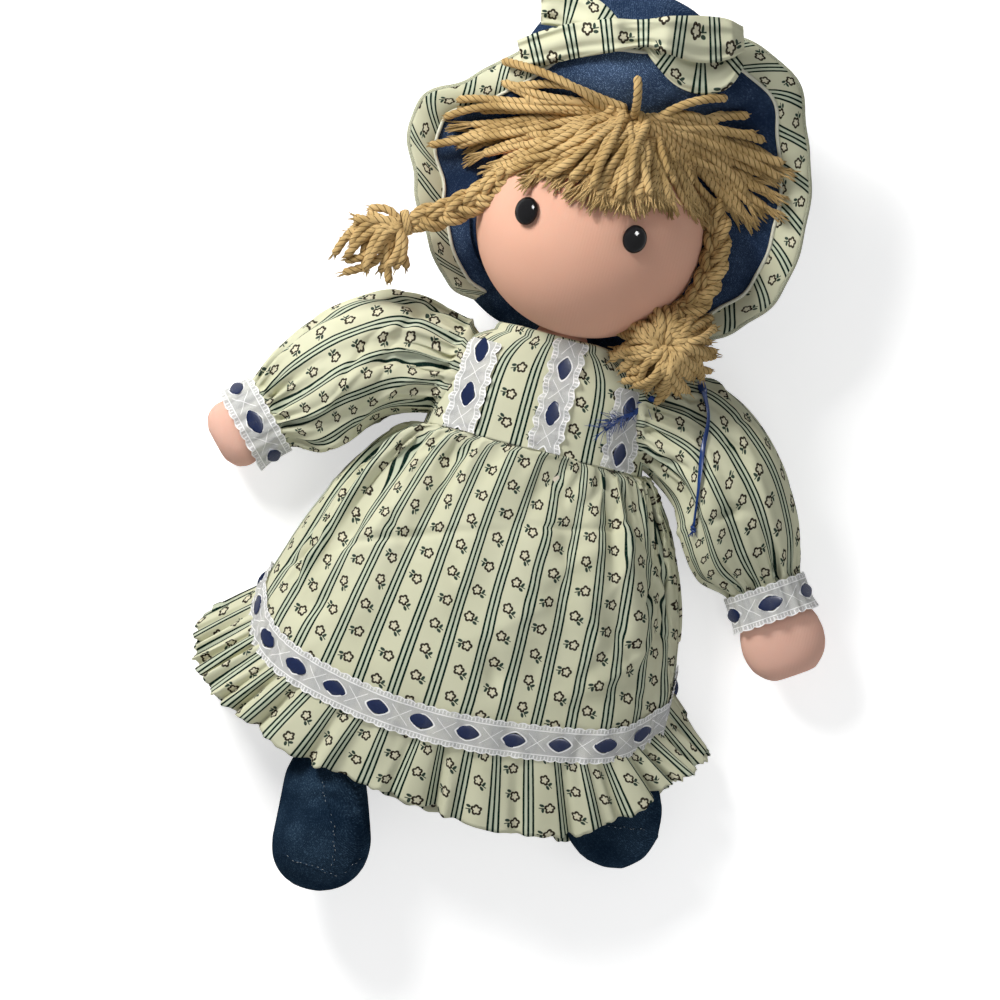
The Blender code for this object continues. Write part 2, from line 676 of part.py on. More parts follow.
def sleeve_track(side):
    """The middle line of a sleeve with its half width and half depth, and the wrist's turned direction."""
    sign = 1 if side == "left" else -1
    reach = Vector((sign * SLEEVE_REACH[side].x, SLEEVE_REACH[side].y))
    root = Vector((sign * (BODICE_HALF_WIDTH + GAP), SHOULDER_Y))
    along = reach.normalized()
    across = Vector((-along.y, along.x)) * sign
    track = [(root.x, root.y, SHOULDER_Z, SLEEVE_ROOT, SLEEVE_ROOT)]
    for share, offset, width, depth in SLEEVE_SHARES:
        middle = root + reach * share + across * offset * SLEEVE_PUFF * 2
        half_depth = SLEEVE_DEPTH * depth
        track.append((middle.x, middle.y, half_depth - FLAT_DEPTH * depth, SLEEVE_PUFF * width, half_depth))
    wrist = root + reach
    track.append((wrist.x, wrist.y, CUFF_HALF_DEPTH + CUFF_LIFT, CUFF_HALF_WIDTH, CUFF_HALF_DEPTH))
    along = along * math.cos(WRIST_TURN) - across * math.sin(WRIST_TURN)
    return track, along


def sleeve_pleat(share, angle):
    """The gathers of a sleeve, deepest at its ends."""
    return SLEEVE_PLEAT * abs(2 * share - 1) * math.sin(SLEEVE_PLEATS * angle)


def cuff_point(wrist, along, u, v):
    """A point of the lace round a wrist: u once round, v from the sleeve to the lace's free edge."""
    across = Vector((-along.y, along.x, 0))
    flare = CUFF_HALF_WIDTH + LACE_FLARE * v
    w, d = oval(2 * math.pi * u, flare, CUFF_HALF_DEPTH + LACE_FLARE * v)
    return wrist + Vector((along.x, along.y, 0)) * CUFF_LACE_WIDTH * v + across * w + Vector((0, 0, d))


def make_arm(side):
    """One arm: the stuffed arm and hand, the puffed sleeve, and the lace and ribbon round the wrist."""
    sign = 1 if side == "left" else -1
    track, along = sleeve_track(side)
    out, along3 = Vector((sign, 0, 0)), Vector((along.x, along.y, 0))
    full = smooth_track(track, 2)
    rings = tube_rings(full, SLEEVE_SIDES, turning(out, along3, len(full)), sleeve_pleat)
    cloth_from_rows("sleeve_" + side, [[on_floor(p) for p in ring] for ring in rings], "print_cotton", CLOTH)

    wrist = Vector(track[-1][:3])
    lace_start = wrist + along3 * SOFT_GAP

    def cuff_surface(u, v):
        return cuff_point(lace_start, along, u, v)

    us = [k / CUFF_SIDES for k in range(CUFF_SIDES)]
    rows = [[cuff_surface(u, v) for u in us] for v in (0, 1)]
    cloth_from_rows("cuff_lace_" + side, rows, "lace", LACE)
    half = [w * OVAL_WIDTH / 2 / CUFF_LACE_WIDTH for w in window_widths(CUFF_SIDES, CUFF_SIDES // CUFF_WINDOWS)]
    vs = [[0.5 + sign_v * h for h in half] for sign_v in (-1, 1)]
    rows = trim_rows(cuff_surface, us, vs, GAP, wrist)
    cloth_from_rows("cuff_ribbon_" + side, rows, "navy_satin", RIBBON, inward=False)

    torso_side = BODICE_HALF_WIDTH - TORSO_INSET
    shoulder = Vector((sign * (torso_side + SOFT_GAP), SHOULDER_Y, SHOULDER_Z))
    straight = shoulder + out * (TORSO_INSET + CLOTH)
    bend = straight + out * ARM_RADIUS
    elbow = Vector(track[2][:3]).lerp(bend, 0.3)
    hand_start = lace_start + along3 * CUFF_LACE_WIDTH * HAND_OVERLAP_SHARE
    stations = [
        (*shoulder, ARM_RADIUS, ARM_RADIUS), (*straight, ARM_RADIUS, ARM_RADIUS), (*bend, ARM_RADIUS, ARM_RADIUS),
        (*elbow, ARM_RADIUS, ARM_RADIUS), (*(hand_start - along3 * GAP), WRIST_RADIUS, WRIST_RADIUS),
    ]
    full = smooth_track(stations, 2)
    turns = [out] * 5 + turning(out, along3, len(full) - 5)
    solid_from_rings("upper_arm_" + side, tube_rings(full, 16, turns), "face_knit")
    hand = [
        (*(hand_start + along3 * HAND_LENGTH[side] * s), HAND_HALF_WIDTH[side] * w, HAND_HALF_DEPTH * d)
        for s, w, d in HAND_SHARES
    ]
    full = smooth_track(hand, 2)
    solid_from_rings("hand_" + side, tube_rings(full, 18, [along3] * len(full)), "face_knit")


def make_leg(side):
    """One leg: the stuffed thigh, round at the sitting seam, and the denim boot."""
    sign = 1 if side == "left" else -1
    hip = Vector((sign * LEG_SPREAD, SEAT_Y - LEG_RADIUS - SOFT_GAP, LEG_Z))
    knee, ankle, foot = (Vector((*place[side], LEG_Z)) for place in (KNEE, ANKLE, FOOT))
    boot_top = knee.lerp(ankle, BOOT_TOP_SHARE)
    step = (ankle - knee).normalized()
    shin = LEG_RADIUS * KNEE_SHARE
    thigh = [
        (hip.x, hip.y + LEG_RADIUS * math.sin(a), hip.z, LEG_RADIUS * math.cos(a), LEG_RADIUS * math.cos(a))
        for a in (math.radians(d) for d in (84, 66, 46, 24))
    ]
    thigh += [
        (*hip, LEG_RADIUS, LEG_RADIUS), (*hip.lerp(knee, 0.5), LEG_RADIUS, LEG_RADIUS), (*knee, shin, shin),
        (*(boot_top - step * GAP), shin, shin),
    ]
    down = Vector((0, -1, 0))
    turns = [down] * 5 + turning(down, step, len(thigh) - 4)[1:]
    solid_from_rings("thigh_" + side, tube_rings(thigh, LEG_SIDES, turns), "face_knit")

    heading = Vector((foot.x - ankle.x, foot.y - ankle.y, 0)).normalized()
    boot, turns = [(*boot_top, LEG_RADIUS, LEG_RADIUS)], [step]
    for share, height, width, depth, turn in BOOT_SHARES[side]:
        place = ankle + heading * FOOT_REACH * share
        boot.append((place.x, place.y, BOOT_HALF_WIDTH * height, BOOT_HALF_WIDTH * width, BOOT_HALF_WIDTH * depth))
        angle = turn * math.pi / 2
        turns.append(heading * math.cos(angle) + Vector((0, 0, 1)) * math.sin(angle))
    solid_from_rings("boot_" + side, tube_rings(boot, LEG_SIDES, turns), "denim", floor=True)


def rim_height(angle):
    """How high the bonnet's rim lies, by the angle round the head."""
    s = math.sin(angle)
    end = RIM_TOP_Z if s > 0 else RIM_NAPE_Z
    return RIM_SIDE_Z + (end - RIM_SIDE_Z) * s * s


def rim_reach(angle):
    """How far the bonnet's rim is from the head's middle line, close round the head."""
    height = (rim_height(angle) - HEAD_CENTRE.z) / HEAD_HALF.z
    level = math.sqrt(1 - min(height * height, 1)) if abs(height) < 1 else 0
    flat = 1 / math.hypot(math.cos(angle) / HEAD_HALF.x, math.sin(angle) / HEAD_HALF.y)
    return flat * level + DENIM + SOFT_GAP


def round_head(angle, reach, height):
    """A point round the head by angle, reach and height."""
    return Vector((HEAD_CENTRE.x + reach * math.cos(angle), HEAD_CENTRE.y + reach * math.sin(angle), height))


def crown_point(angle, row):
    """A point of the bonnet's crown from its rim, row 0, over the puff to its flat back."""
    s = math.sin(angle)
    widest = CROWN_SIDE_REACH
    if s > 0:
        widest += (CROWN_TOP_REACH - CROWN_SIDE_REACH) * s**CROWN_RISE_SHARE
    else:
        widest += (CROWN_NAPE_REACH - CROWN_SIDE_REACH) * s * s
    rim = rim_height(angle)
    reach, height = CROWN_SHARES[row]
    start = rim_reach(angle)
    out = start + (widest - start) * reach if row < 3 else widest * reach
    pleat = CROWN_PLEAT * math.sin(CROWN_PLEATS * angle) * (1 if 0 < row < 4 else 0) * max(0.3, s)
    return on_floor(round_head(angle, out + pleat, rim * height - (FLAT_DEPTH if row > 4 else 0)))


def make_crown():
    """The bonnet's puffed denim crown, open towards the face."""
    rows = [
        [crown_point(2 * math.pi * k / CROWN_SIDES, row) for k in range(CROWN_SIDES)]
        for row in range(len(CROWN_SHARES))
    ]
    points = [p for row in rows for p in row]
    count = CROWN_SIDES
    faces = [
        (a * count + k, a * count + (k + 1) % count, (a + 1) * count + (k + 1) % count, (a + 1) * count + k)
        for a in range(len(rows) - 1)
        for k in range(count)
    ]
    faces.append(tuple((len(rows) - 1) * count + k for k in range(count)))
    crown = add_object("bonnet_crown", points, faces, "denim")
    middle = HEAD_CENTRE
    if sum(f.normal.dot(f.center - middle) for f in crown.data.polygons) < 0:
        crown.data.flip_normals()
    wall = crown.modifiers.new("cloth", "SOLIDIFY")
    wall.thickness = DENIM
    wall.offset = -1


def brim_share(angle):
    """The reach of the brim's edge past the head, in brim widths, read between the outline's points."""
    degrees = math.degrees(angle)
    for (a, low), (b, high) in zip(BRIM_SHARES, BRIM_SHARES[1:]):
        if a <= degrees <= b:
            t = (degrees - a) / (b - a)
            t = t * t * (3 - 2 * t)
            return low + (high - low) * t
    return BRIM_SHARES[0][1] if degrees < BRIM_SHARES[0][0] else BRIM_SHARES[-1][1]


def brim_point(angle, v):
    """A point of the brim: v from the crown's rim to the brim's edge."""
    start, height = rim_reach(angle) + GAP + DENIM, rim_height(angle) + BRIM_LIFT
    edge = HEAD_HALF.x + BRIM_WIDTH * brim_share(angle)
    top = max(0, math.sin(angle)) ** 3
    end_fade = min(1, (math.degrees(angle) - BRIM_SHARES[0][0]) / 40, (BRIM_SHARES[-1][0] - math.degrees(angle)) / 40)
    edge_z = BRIM_EDGE_Z + (BRIM_TOP_Z - BRIM_EDGE_Z) * top
    edge_z += (BRIM_END_Z - BRIM_EDGE_Z) * (1 - end_fade) ** 2
    camber = -BRIM_DISH + (BRIM_ARCH + BRIM_DISH) * top
    z = height + (edge_z - height) * v + 4 * camber * v * (1 - v)
    return round_head(angle, start + (edge - start) * v, z)


def border_start(angle):
    """Where the border begins across the brim."""
    width = HEAD_HALF.x + BRIM_WIDTH * brim_share(angle) - rim_reach(angle)
    return 1 - min(BORDER_WIDTH / width, BORDER_MOST_SHARE)


def make_brim():
    """The denim brim round the face and the printed border along its edge."""
    low, high = (math.radians(BRIM_SHARES[i][0]) for i in (0, -1))
    angles = [low + (high - low) * k / BRIM_STEPS for k in range(BRIM_STEPS + 1)]
    gap_share = BORDER_GAP / BRIM_WIDTH
    rows = [[brim_point(a, border_start(a) * v) for a in angles] for v in (0, 0.25, 0.5, 0.75, 1)]
    sheet("bonnet_brim", rows, "denim", DENIM)
    rows = []
    for v in (0, 0.5, 1):
        rows.append([
            brim_point(a, border_start(a) + gap_share + (1 - border_start(a) - gap_share) * v) for a in angles
        ])
    sheet("brim_border", rows, "print_cotton", DENIM)


def sheet(name, rows, slot, thickness):
    """An open sheet that faces +Z, thickened below."""
    count = len(rows[0])
    faces = [
        (a * count + k, a * count + k + 1, (a + 1) * count + k + 1, (a + 1) * count + k)
        for a in range(len(rows) - 1)
        for k in range(count - 1)
    ]
    made = add_object(name, [p for row in rows for p in row], faces, slot)
    if sum(f.normal.z for f in made.data.polygons) < 0:
        made.data.flip_normals()
    wall = made.modifiers.new("cloth", "SOLIDIFY")
    wall.thickness = thickness
    wall.offset = -1
    return made


def brim_top(x, y):
    """The height of the brim's upper face under a place, or of the head where there is no brim."""
    dx, dy = x - HEAD_CENTRE.x, y - HEAD_CENTRE.y
    reach, angle = math.hypot(dx, dy), math.atan2(dy, dx)
    if math.degrees(angle) < BRIM_SHARES[0][0] - 1:
        angle += 2 * math.pi
    start = rim_reach(angle) + GAP + DENIM
    edge = HEAD_HALF.x + BRIM_WIDTH * brim_share(angle)
    inside = (dx / HEAD_HALF.x) ** 2 + (dy / HEAD_HALF.y) ** 2
    head_z = HEAD_CENTRE.z + HEAD_HALF.z * math.sqrt(max(0, 1 - inside)) if inside < 1 else 0
    v = min(max((reach - start) / (edge - start), 0), 1)
    return max(head_z, brim_point(angle, v).z if reach > start - DENIM else rim_height(angle))


def make_fringe(head_guard):
    """The fringe: locks that fan out from the bonnet's seam over the brow and the brim."""
    lengths = smooth_track(FRINGE_SHARES, 1)
    top_rows, low_rows = [], []
    for s in FRINGE_STEPS_SHARES:
        top, low = [], []
        for degrees, share in lengths:
            a = math.radians(degrees)
            place = HEAD_CENTRE.xy + FRINGE_ROOT + Vector((math.cos(a), math.sin(a))) * HEAD_HALF.x * share * s
            base = brim_top(*place) + FRINGE_LIFT
            low.append(Vector((*place, base)))
            top.append(Vector((*place, base + FRINGE_THICKNESS * (1 - 0.45 * s))))
        top_rows.append(top)
        low_rows.append(low)
    count, depth = len(lengths), len(FRINGE_STEPS_SHARES)
    points = [p for rows in (top_rows, low_rows) for row in rows for p in row]
    half = count * depth

    def at(layer, row, column):
        return layer * half + row * count + column

    faces = []
    for layer in (0, 1):
        for row in range(depth - 1):
            for column in range(count - 1):
                faces.append((
                    at(layer, row, column), at(layer, row, column + 1),
                    at(layer, row + 1, column + 1), at(layer, row + 1, column),
                ))
    for column in range(count - 1):
        for row in (0, depth - 1):
            faces.append((at(0, row, column), at(0, row, column + 1), at(1, row, column + 1), at(1, row, column)))
    for row in range(depth - 1):
        for column in (0, count - 1):
            faces.append((at(0, row, column), at(0, row + 1, column), at(1, row + 1, column), at(1, row, column)))
    cut(add_object("fringe", points, faces, "yarn"), head_guard)


def make_pigtail(side, head_guard):
    """One pigtail: the braid, the tie at its end and the tassel below the tie."""
    path = [HEAD_CENTRE.xy + Vector(p) for p in BRAID_PATH[side]]
    track = [(*p, BRAID_Z, BRAID_RADIUS * w, BRAID_RADIUS * w) for p, w in zip(path, BRAID_TAPER_SHARES)]
    end, along = path[-1], (path[-1] - path[-2]).normalized()
    first = (path[1] - path[0]).normalized()
    full = smooth_track(track, 2)
    turns = turning(Vector((first.x, first.y, 0)), Vector((along.x, along.y, 0)), len(full))
    braid = solid_from_rings("braid_" + side, tube_rings(full, 14, turns), "yarn")
    cut(braid, head_guard)
    tie = [
        (*(end + along * (SOFT_GAP + TIE_LENGTH * s)), BRAID_Z, TIE_RADIUS, TIE_RADIUS) for s in (0, 1)
    ]
    solid_from_rings("hair_tie_" + side, tube_rings(tie, 14), "yarn")
    start = end + along * (2 * SOFT_GAP + TIE_LENGTH)
    level = Vector((along.x, along.y, 0))
    tassel = [
        (*(start + along * TASSEL_LENGTH[side] * s), BRAID_Z + TASSEL_LIFT[side] * s,
         TASSEL_HALF_WIDTH[side] * w, TASSEL_HALF_DEPTH * d)
        for s, w, d in TASSEL_SHARES
    ]
    full = smooth_track(tassel, 2)
    made = solid_from_rings("tassel_" + side, tube_rings(full, 18, [level] * len(full)), "yarn")
    cut(made, head_guard)


def bow_rings(knot, angle, start, length, shares, lift):
    """Rings of one loop or tail of the bow, laid over the brim."""
    along = Vector((math.cos(angle), math.sin(angle), 0))
    across = Vector((-along.y, along.x, 0))
    track = []
    for share, width, depth in shares:
        place = knot + along * (start + length * share)
        half = BOW_HALF_WIDTH * width
        under = max(brim_top(*(place + across * half * k).xy) for k in (-1, -0.5, 0, 0.5, 1))
        height = under + lift + BOW_HALF_DEPTH * depth
        track.append((place.x, place.y, height, half, BOW_HALF_DEPTH * depth))
    full = smooth_track(track, 2)
    return tube_rings(full, 16, [along] * len(full))


def make_bow():
    """The bow on the brim: two loops, two tails under them and the knot between them."""
    place = HEAD_CENTRE.xy + BOW_KNOT
    knot = Vector((*place, max(brim_top(place.x, place.y + KNOT_RADIUS * k) for k in (-1, 0, 1)) + KNOT_RADIUS))
    ellipsoid("bow_knot", knot, [KNOT_RADIUS] * 3, "print_cotton", 12, 8)
    tail_depth = 2 * BOW_HALF_DEPTH * TAIL_SHARES[0][2]
    for side in ("left", "right"):
        rings = bow_rings(knot, TAIL_ANGLE[side], TAIL_START, TAIL_LENGTH[side], TAIL_SHARES, TAIL_LIFT[side])
        solid_from_rings("bow_tail_" + side, rings, "print_cotton")
        lift = BOW_LOOP_LIFT + tail_depth
        start = KNOT_RADIUS * KNOT_MEET_SHARE
        rings = bow_rings(knot, BOW_ANGLE[side], start, BOW_HALF_LENGTH - start, BOW_SHARES, lift)
        solid_from_rings("bow_loop_" + side, rings, "print_cotton")


def sleeve_top(side, place):
    """The height of a sleeve's upper side over a place in plan."""
    track = smooth_track(sleeve_track(side)[0], 4)
    best = 0
    for a, b in zip(track, track[1:]):
        start, end = Vector(a[:2]), Vector(b[:2])
        run = end - start
        t = min(max((place - start).dot(run) / run.length_squared, 0), 1)
        off = (place - start - run * t).length
        z, half, depth = (p + (q - p) * t for p, q in zip(a[2:], b[2:]))
        if off < half:
            best = max(best, z + depth * math.sqrt(1 - (off / half) ** 2))
    return best


def cord(name, route, height_at, slot):
    """A cord along a plan route, as a curve tube that lies on what height_at gives."""
    track = smooth_track(route, 16)
    points, last = [], None
    for p in track:
        place = Vector(p)
        if last is None or (place - last).length >= CORD_STEP:
            points.append(Vector((*place, height_at(place) + CORD_LIFT + CORD_RADIUS)))
            last = place
    curve = bpy.data.curves.new(name, "CURVE")
    curve.dimensions = "3D"
    curve.bevel_depth = CORD_RADIUS
    curve.bevel_resolution = 2
    curve.use_fill_caps = True
    line = curve.splines.new("POLY")
    line.points.add(len(points) - 1)
    for point, place in zip(line.points, points):
        point.co = (*place, 1)
    made = bpy.data.objects.new(name, curve)
    made.data.materials.append(material(slot))
    bpy.context.scene.collection.objects.link(made)
    return points


def make_ribbon_ends():
    """The blue ribbon's long end with the knot at its tip, and its frayed end."""
    points = cord("ribbon_long_end", LONG_END_ROUTE, lambda p: sleeve_top("left", p), "blue_satin")
    along = (points[-1] - points[-2]).normalized()
    centre = points[-1] + along * (RIBBON_KNOT_HALF.y + SOFT_GAP)
    centre.z = max(centre.z, sleeve_top("left", centre.xy) + SLEEVE_PLEAT + RIBBON_KNOT_HALF.z)
    ellipsoid("ribbon_knot", centre, RIBBON_KNOT_HALF, "blue_satin", 12, 8)
    over_lace = 2 * SOFT_GAP + LACE + 2 * RIBBON

    def bodice_height(place):
        return max(bodice_front(place.x, k / 40).z for k in range(41)
                   if abs(bodice_front(place.x, k / 40).y - place.y) < BODICE_LENGTH / 20) + over_lace

    cord("ribbon_frayed_end", FRAYED_END_ROUTE, bodice_height, "blue_satin")


def place_origins():
    """Put the origin of every moving piece on its joint's axis."""
    temple = {side: HEAD_CENTRE.xy + Vector(BRAID_PATH[side][0]) for side in BRAID_PATH}
    for made in bpy.data.objects:
        if made.hide_render:
            continue
        side = made.name.rsplit("_", 1)[-1]
        sign = -1 if side == "right" else 1
        if made.name.startswith(("upper_arm", "hand", "sleeve", "cuff", "ribbon_long", "ribbon_knot")):
            pivot = Vector((sign * BODICE_HALF_WIDTH, SHOULDER_Y, SHOULDER_Z))
        elif made.name.startswith(("thigh", "boot")):
            pivot = Vector((sign * LEG_SPREAD, SEAT_Y - LEG_RADIUS - SOFT_GAP, LEG_Z))
        elif made.name.startswith(("braid", "hair_tie", "tassel")):
            pivot = Vector((*temple[side], BRAID_Z))
        elif made.name.startswith(("head", "neck", "eye", "bonnet", "brim", "bow", "fringe")):
            pivot = Vector((0, NECK_Y, NECK_Z))
        else:
            continue
        made.data.transform(Matrix.Translation(-pivot))
        made.location = pivot


def main():
    for old in list(bpy.data.objects):
        bpy.data.objects.remove(old)
    socket = make_body()
    make_head(socket)
    make_skirt()
    make_strips()
    for side in ("left", "right"):
        make_arm(side)
        make_leg(side)
    make_crown()
    make_brim()
    head_guard = ellipsoid("head_guard", HEAD_CENTRE, HEAD_HALF + Vector([SOFT_GAP] * 3), "yarn", 28, 16)
    make_fringe(head_guard)
    for side in ("left", "right"):
        make_pigtail(side, head_guard)
    make_bow()
    make_ribbon_ends()
    place_origins()


main()
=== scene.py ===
"""The dressed rag doll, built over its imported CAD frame. Metres throughout, in the frame's own axes."""

import math
import random

import bmesh
import bpy
import numpy as np
from mathutils import Matrix, Vector
from mathutils.bvhtree import BVHTree


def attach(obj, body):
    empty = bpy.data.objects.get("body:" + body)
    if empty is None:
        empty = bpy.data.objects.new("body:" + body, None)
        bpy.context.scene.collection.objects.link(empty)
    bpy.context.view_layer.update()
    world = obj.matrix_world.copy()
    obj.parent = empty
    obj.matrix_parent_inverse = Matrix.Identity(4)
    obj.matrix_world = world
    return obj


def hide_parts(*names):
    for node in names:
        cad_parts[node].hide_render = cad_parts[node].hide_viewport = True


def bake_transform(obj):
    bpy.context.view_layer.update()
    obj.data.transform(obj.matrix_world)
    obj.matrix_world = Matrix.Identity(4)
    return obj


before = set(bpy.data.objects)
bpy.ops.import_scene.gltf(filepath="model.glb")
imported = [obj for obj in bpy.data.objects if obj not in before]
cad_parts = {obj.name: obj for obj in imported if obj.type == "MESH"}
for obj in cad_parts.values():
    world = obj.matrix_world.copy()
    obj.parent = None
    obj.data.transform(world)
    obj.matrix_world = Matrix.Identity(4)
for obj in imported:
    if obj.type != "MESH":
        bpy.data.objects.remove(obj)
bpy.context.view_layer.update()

# Places that the CAD states, repeated here
HEAD_CENTRE = np.array((0, 0.098, 0.058))
HEAD_HALF = np.array((0.055, 0.053, 0.050))
WAIST_Y = -0.012
SHOULDER = np.array((0.054, 0.008, 0.031))
BODICE_HALF_WIDTH = 0.054
BODICE_HALF_DEPTH = 0.0315
BODICE_POWER = 2.3
FLAT = 0.0005
UP = np.array((0, 0, 1.0))
SIGN = {"left": 1, "right": -1}


# Numbers in a node tree
class Num:
    """A value in a node tree that takes the usual arithmetic."""

    def __init__(self, tree, socket):
        self.tree, self.socket = tree, socket

    def __add__(self, other):
        return calc(self.tree, "ADD", self, other)

    def __radd__(self, other):
        return calc(self.tree, "ADD", other, self)

    def __sub__(self, other):
        return calc(self.tree, "SUBTRACT", self, other)

    def __rsub__(self, other):
        return calc(self.tree, "SUBTRACT", other, self)

    def __mul__(self, other):
        return calc(self.tree, "MULTIPLY", self, other)

    def __rmul__(self, other):
        return calc(self.tree, "MULTIPLY", other, self)

    def __truediv__(self, other):
        return calc(self.tree, "DIVIDE", self, other)

    def do(self, kind, *others):
        return calc(self.tree, kind, self, *others)


def calc(tree, kind, *values):
    """One Math node."""
    node = tree.nodes.new("ShaderNodeMath")
    node.operation = kind
    for socket, value in zip(node.inputs, values):
        if isinstance(value, Num):
            tree.links.new(value.socket, socket)
        else:
            socket.default_value = value
    return Num(tree, node.outputs[0])


def ramp(value, low, high):
    """0 below low, 1 above high, smooth between."""
    node = value.tree.nodes.new("ShaderNodeMapRange")
    node.interpolation_type = "SMOOTHSTEP"
    value.tree.links.new(value.socket, node.inputs["Value"])
    node.inputs["From Min"].default_value = low
    node.inputs["From Max"].default_value = high
    return Num(value.tree, node.outputs["Result"])


def near(value, place, half, soft):
    """1 where value is within half of place, with a soft edge."""
    return 1 - ramp((value - place).do("ABSOLUTE"), half - soft, half + soft)


def both(a, b):
    """The larger of two values."""
    return calc(a.tree, "MAXIMUM", a, b)


def vector(tree, x, y, z=0.0):
    """A vector from three values."""
    node = tree.nodes.new("ShaderNodeCombineXYZ")
    for socket, value in zip(node.inputs, (x, y, z)):
        if isinstance(value, Num):
            tree.links.new(value.socket, socket)
        else:
            socket.default_value = value
    return node.outputs[0]


def noise(tree, place, scale, detail=2.0):
    """Noise at a place, from 0 to 1."""
    node = tree.nodes.new("ShaderNodeTexNoise")
    tree.links.new(place, node.inputs["Vector"])
    node.inputs["Scale"].default_value = scale
    node.inputs["Detail"].default_value = detail
    return Num(tree, node.outputs["Fac"])


def blend_colour(tree, amount, first, second):
    """A mix of two colours, each a triple or a socket."""
    node = tree.nodes.new("ShaderNodeMix")
    node.data_type = "RGBA"
    tree.links.new(amount.socket, node.inputs["Factor"])
    for name, colour in (("A", first), ("B", second)):
        socket = [s for s in node.inputs if s.name == name and s.type == "RGBA"][0]
        if isinstance(colour, tuple):
            socket.default_value = (*colour, 1)
        else:
            tree.links.new(colour, socket)
    return [s for s in node.outputs if s.type == "RGBA"][0]


def new_material(name, roughness, sheen=0.0, sheen_tint=(1, 1, 1)):
    """A material with its tree and its Principled shader."""
    made = bpy.data.materials.new(name)
    made.use_nodes = True
    tree = made.node_tree
    shader = tree.nodes["Principled BSDF"]
    shader.inputs["Roughness"].default_value = roughness
    shader.inputs["Specular IOR Level"].default_value = 0.0
    shader.inputs["Sheen Weight"].default_value = sheen
    shader.inputs["Sheen Roughness"].default_value = 0.5
    shader.inputs["Sheen Tint"].default_value = (*sheen_tint, 1)
    return made, tree, shader


def bump(tree, shader, height, distance, strength=1.0):
    """Raise the surface by a height from 0 to 1."""
    node = tree.nodes.new("ShaderNodeBump")
    node.inputs["Strength"].default_value = strength
    node.inputs["Distance"].default_value = distance
    tree.links.new(height.socket, node.inputs["Height"])
    tree.links.new(node.outputs["Normal"], shader.inputs["Normal"])


def uv_of(tree, name="fabric"):
    """The two coordinates of a piece's cloth, in metres."""
    node = tree.nodes.new("ShaderNodeUVMap")
    node.uv_map = name
    split = tree.nodes.new("ShaderNodeSeparateXYZ")
    tree.links.new(node.outputs["UV"], split.inputs[0])
    return Num(tree, split.outputs["X"]), Num(tree, split.outputs["Y"]), node.outputs["UV"]


def object_place(tree):
    """The rest place of a point, in metres."""
    node = tree.nodes.new("ShaderNodeTexCoord")
    split = tree.nodes.new("ShaderNodeSeparateXYZ")
    tree.links.new(node.outputs["Object"], split.inputs[0])
    return [Num(tree, s) for s in split.outputs], node.outputs["Object"]


# Materials: the print's repeats and inks
STRIPE = 0.0172
STRIPE_LINE = 0.00235
LINE_HALF, LINE_SOFT = 0.00050, 0.00012
SPRIG = 0.0132
FLOWER = 0.00205
CREAM_PALE, CREAM_DEEP, BAND_GREEN = (0.68, 0.68, 0.51), (0.56, 0.56, 0.39), (0.44, 0.52, 0.42)
FLOWER_HEART, FLOWER_INK = (0.72, 0.64, 0.50), (0.014, 0.007, 0.005)
LEAF_INK, LINE_INK = (0.006, 0.028, 0.024), (0.005, 0.018, 0.014)


